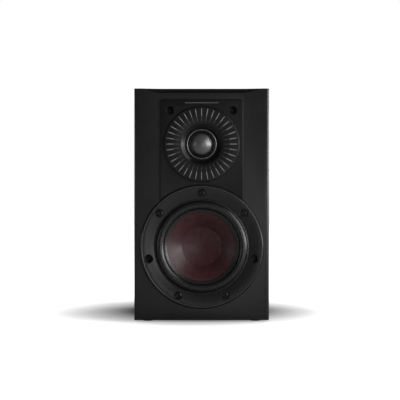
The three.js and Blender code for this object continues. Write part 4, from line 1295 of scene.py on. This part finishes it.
def crossover():
    """The board, two air-cored coils and a film capacitor."""
    WIRE_PITCH, WIRE_DEPTH = 1.4, 0.4
    node = "crossover_board"
    near, far = depths_of(node)
    obj = slab(node, 2, near, far)
    cut(obj, *holes(STUD_HOLE, near - PAST, far + PAST, POSTS))
    stand_for(eased(obj, 0.2, 2, 60), node)
    for node, inner in (("low_pass_coil", 8), ("high_pass_coil", 6)):
        near, far = depths_of(node)
        outer = radius_of(node)
        valley = outer - WIRE_DEPTH
        layers = int((far - near) / WIRE_PITCH)
        wound = ridges(near, (far - near) / layers, layers, valley, outer)
        turn_for(node, [(inner, near, 0.3), *wound, (valley, far), (inner, far, 0.3)], on_axis_of(node))
    node = "tweeter_capacitor"
    width, _, height = size_of(node)
    half, radius = width / 2, height / 2
    end = [(radius, half, 1.2), (0.8 * radius, half, 0.5), (0.7 * radius, half - 0.8, 0.4), (0, half - 0.8)]
    section = [(point[0], -point[1], *point[2:]) for point in reversed(end)] + end
    place = Matrix.Translation(middle(node)) @ Matrix.Rotation(pi / 2, 4, "Z")
    turn_for(node, section, place, SMALL)


def drive_unit_leads():
    """A pair of insulated wires side by side from the board to each drive unit."""
    WIRE, APART = 1.05, 1.0
    cup_z = middle("terminal_cup").z / MM
    board = depths_of("crossover_board")[0]
    routes = {
        "woofer_lead": [
            (8, board - 1.8, cup_z + 38), (8, board - 14, cup_z + 46), (6, 140, 136), (2, 90, 150),
            (0, 50, 152), (0, 26, 146.5), (0, 21.4, 144.4),
        ],
        "tweeter_lead": [
            (-8, board - 1.8, cup_z + 40), (-12, board - 16, cup_z + 56), (-30, 140, 166), (-34, 90, 178),
            (-26, 50, 184), (-16, 34, 182), (-11, 31, 183.6),
        ],
    }
    for node, route in routes.items():
        pair = []
        for side in (-APART, APART):
            points = [FRONT_PLANE @ (Vector((x + side, depth, z)) * MM) for x, depth, z in route]
            pair.append(tube(points, WIRE))
        stand_for(joined(pair), node)


# ---- Everything in its place

front_baffle()
cabinet()
rear_panel()
feet()
damping_pad()

woofer_basket()
flange_bead()
woofer_gasket()
woofer_surround()
woofer_cone()
dust_cap()
woofer_voice_coil()
woofer_spider()
woofer_motor()
woofer_screws()
grille_sockets()
terminal_strip()
tinsel_leads()

tweeter_faceplate()
tweeter_waveguide()
scale_marks("tweeter_scale_outer", 33.3, 43, 0.62, "printed_silver")
scale_marks("tweeter_scale_inner", 27.6, 33.1, 0.55, "printed_grey")
plate_rule()
tweeter_trim_ring()
tweeter_dome()
tweeter_surround()
tweeter_motor()

port_tube()
terminal_cup()
cup_screws()
binding_posts()
thumb_nuts()
crossover()
drive_unit_leads()


# ---- Floor and light

def floor():
    """A light table: paper that glows white, except for a painted shadow, a soft oval of shade painted
    round the speaker's foot in its colour and glow.
    """
    SIZE, SHADE_START, SHADE_END = 12, 0.085, 0.23
    SHADE_CENTRE, SHADE_SHAPE = (0.006, -0.05, 0), (1, 0.8, 1)
    # The colour inside the oval is painted shade: grey paper that stands in for the speaker's shadow.
    PAINTED_SHADE, PALE = (0.12, 0.12, 0.12), (0.65, 0.65, 0.65)
    bpy.ops.mesh.primitive_plane_add(size=SIZE)
    plane = bpy.context.object
    plane.name = "studio_floor"
    paper = Finish("studio_paper", PALE, 0.8, specular=0.2, glow=(1, 1, 1, 1))
    oval = paper.coordinates
    for operation, by in (("ADD", SHADE_CENTRE), ("MULTIPLY", SHADE_SHAPE)):
        made = paper.node("ShaderNodeVectorMath", [(0, oval)], operation=operation)
        made.inputs[1].default_value = by
        oval = made.outputs["Vector"]
    distance = paper.node("ShaderNodeVectorMath", [(0, oval)], operation="LENGTH").outputs["Value"]
    # The painted shadow's mask: 0 inside the oval, where the paper takes the painted shade and does not
    # glow, 1 outside it.
    glow = paper.ranged(distance, SHADE_START, SHADE_END)
    paper.paint(paper.mixed(glow, PAINTED_SHADE, PALE))
    seen = paper.maths("MULTIPLY", glow, paper.seen_by_camera())
    paper.tree.links.new(seen, paper.shader.inputs["Emission Strength"])
    plane.data.materials.append(paper.material)


def softbox(name, azimuth, elevation, distance, size, power):
    """A square area light that faces the speaker's middle. Azimuth 0 is in front and 90 is to the right."""
    centre = (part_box("front_baffle")[0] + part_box("rear_panel")[1]) / 2
    a, e = radians(azimuth), radians(elevation)
    away = Vector((sin(a) * cos(e), -cos(a) * cos(e), sin(e)))
    data = bpy.data.lights.new(name, "AREA")
    data.shape = "SQUARE"
    data.size = size
    data.energy = power
    lamp = linked(data)
    lamp.location = centre + away * distance
    lamp.rotation_mode = "QUATERNION"
    lamp.rotation_quaternion = (-away).to_track_quat("-Z", "Y")


def studio():
    """A room seen as white. As light, it is dim in front of the speaker and brighter behind it."""
    SEEN, FRONT_WALL, BACK_WALL = 1.0, 0.32, 0.6
    world = bpy.data.worlds.new("studio")
    net = Nodes(world)
    view = net.node("ShaderNodeTexCoord").outputs["Generated"]
    rearwards = net.node("ShaderNodeSeparateXYZ", [("Vector", view)]).outputs["Y"]
    front = net.ranged(rearwards, -0.2, -0.6, 0, FRONT_WALL)
    walls = net.maths("ADD", front, net.ranged(rearwards, 0.2, 0.6, 0, BACK_WALL))
    links = [("Value", net.seen_by_camera()), ("To Min", walls)]
    strength = net.node("ShaderNodeMapRange", links, **{"To Max": SEEN})
    background = net.tree.nodes["Background"]
    background.inputs["Color"].default_value = (1, 1, 1, 1)
    net.tree.links.new(strength.outputs["Result"], background.inputs["Strength"])
    scene.world = world
    scene.view_settings.view_transform = "Standard"


def lamps():
    """Rows of small softboxes to the right, one low at each side, and larger ones behind."""
    NEAR, SMALL_BOX, BEHIND, LARGE_BOX = 1.7, 0.45, 1.9, 0.8
    for azimuth, elevation, power in (
        (10, 5, 0.3), (14, -4, 4), (-50, 5, 2), (40, 5, 9), (40, 22, 5.2), (55, 5, 7), (55, 22, 4.5),
        (70, 5, 12.5), (70, 22, 4.5), (70, 42, 4.5), (108, 9, 18), (-108, 9, 4),
    ):
        softbox(f"softbox_{azimuth}_{elevation}", azimuth, elevation, NEAR, SMALL_BOX, power)
    for azimuth in (-135, 135):
        softbox(f"rear_{azimuth}", azimuth, 35, BEHIND, LARGE_BOX, 12)


floor()
studio()
lamps()
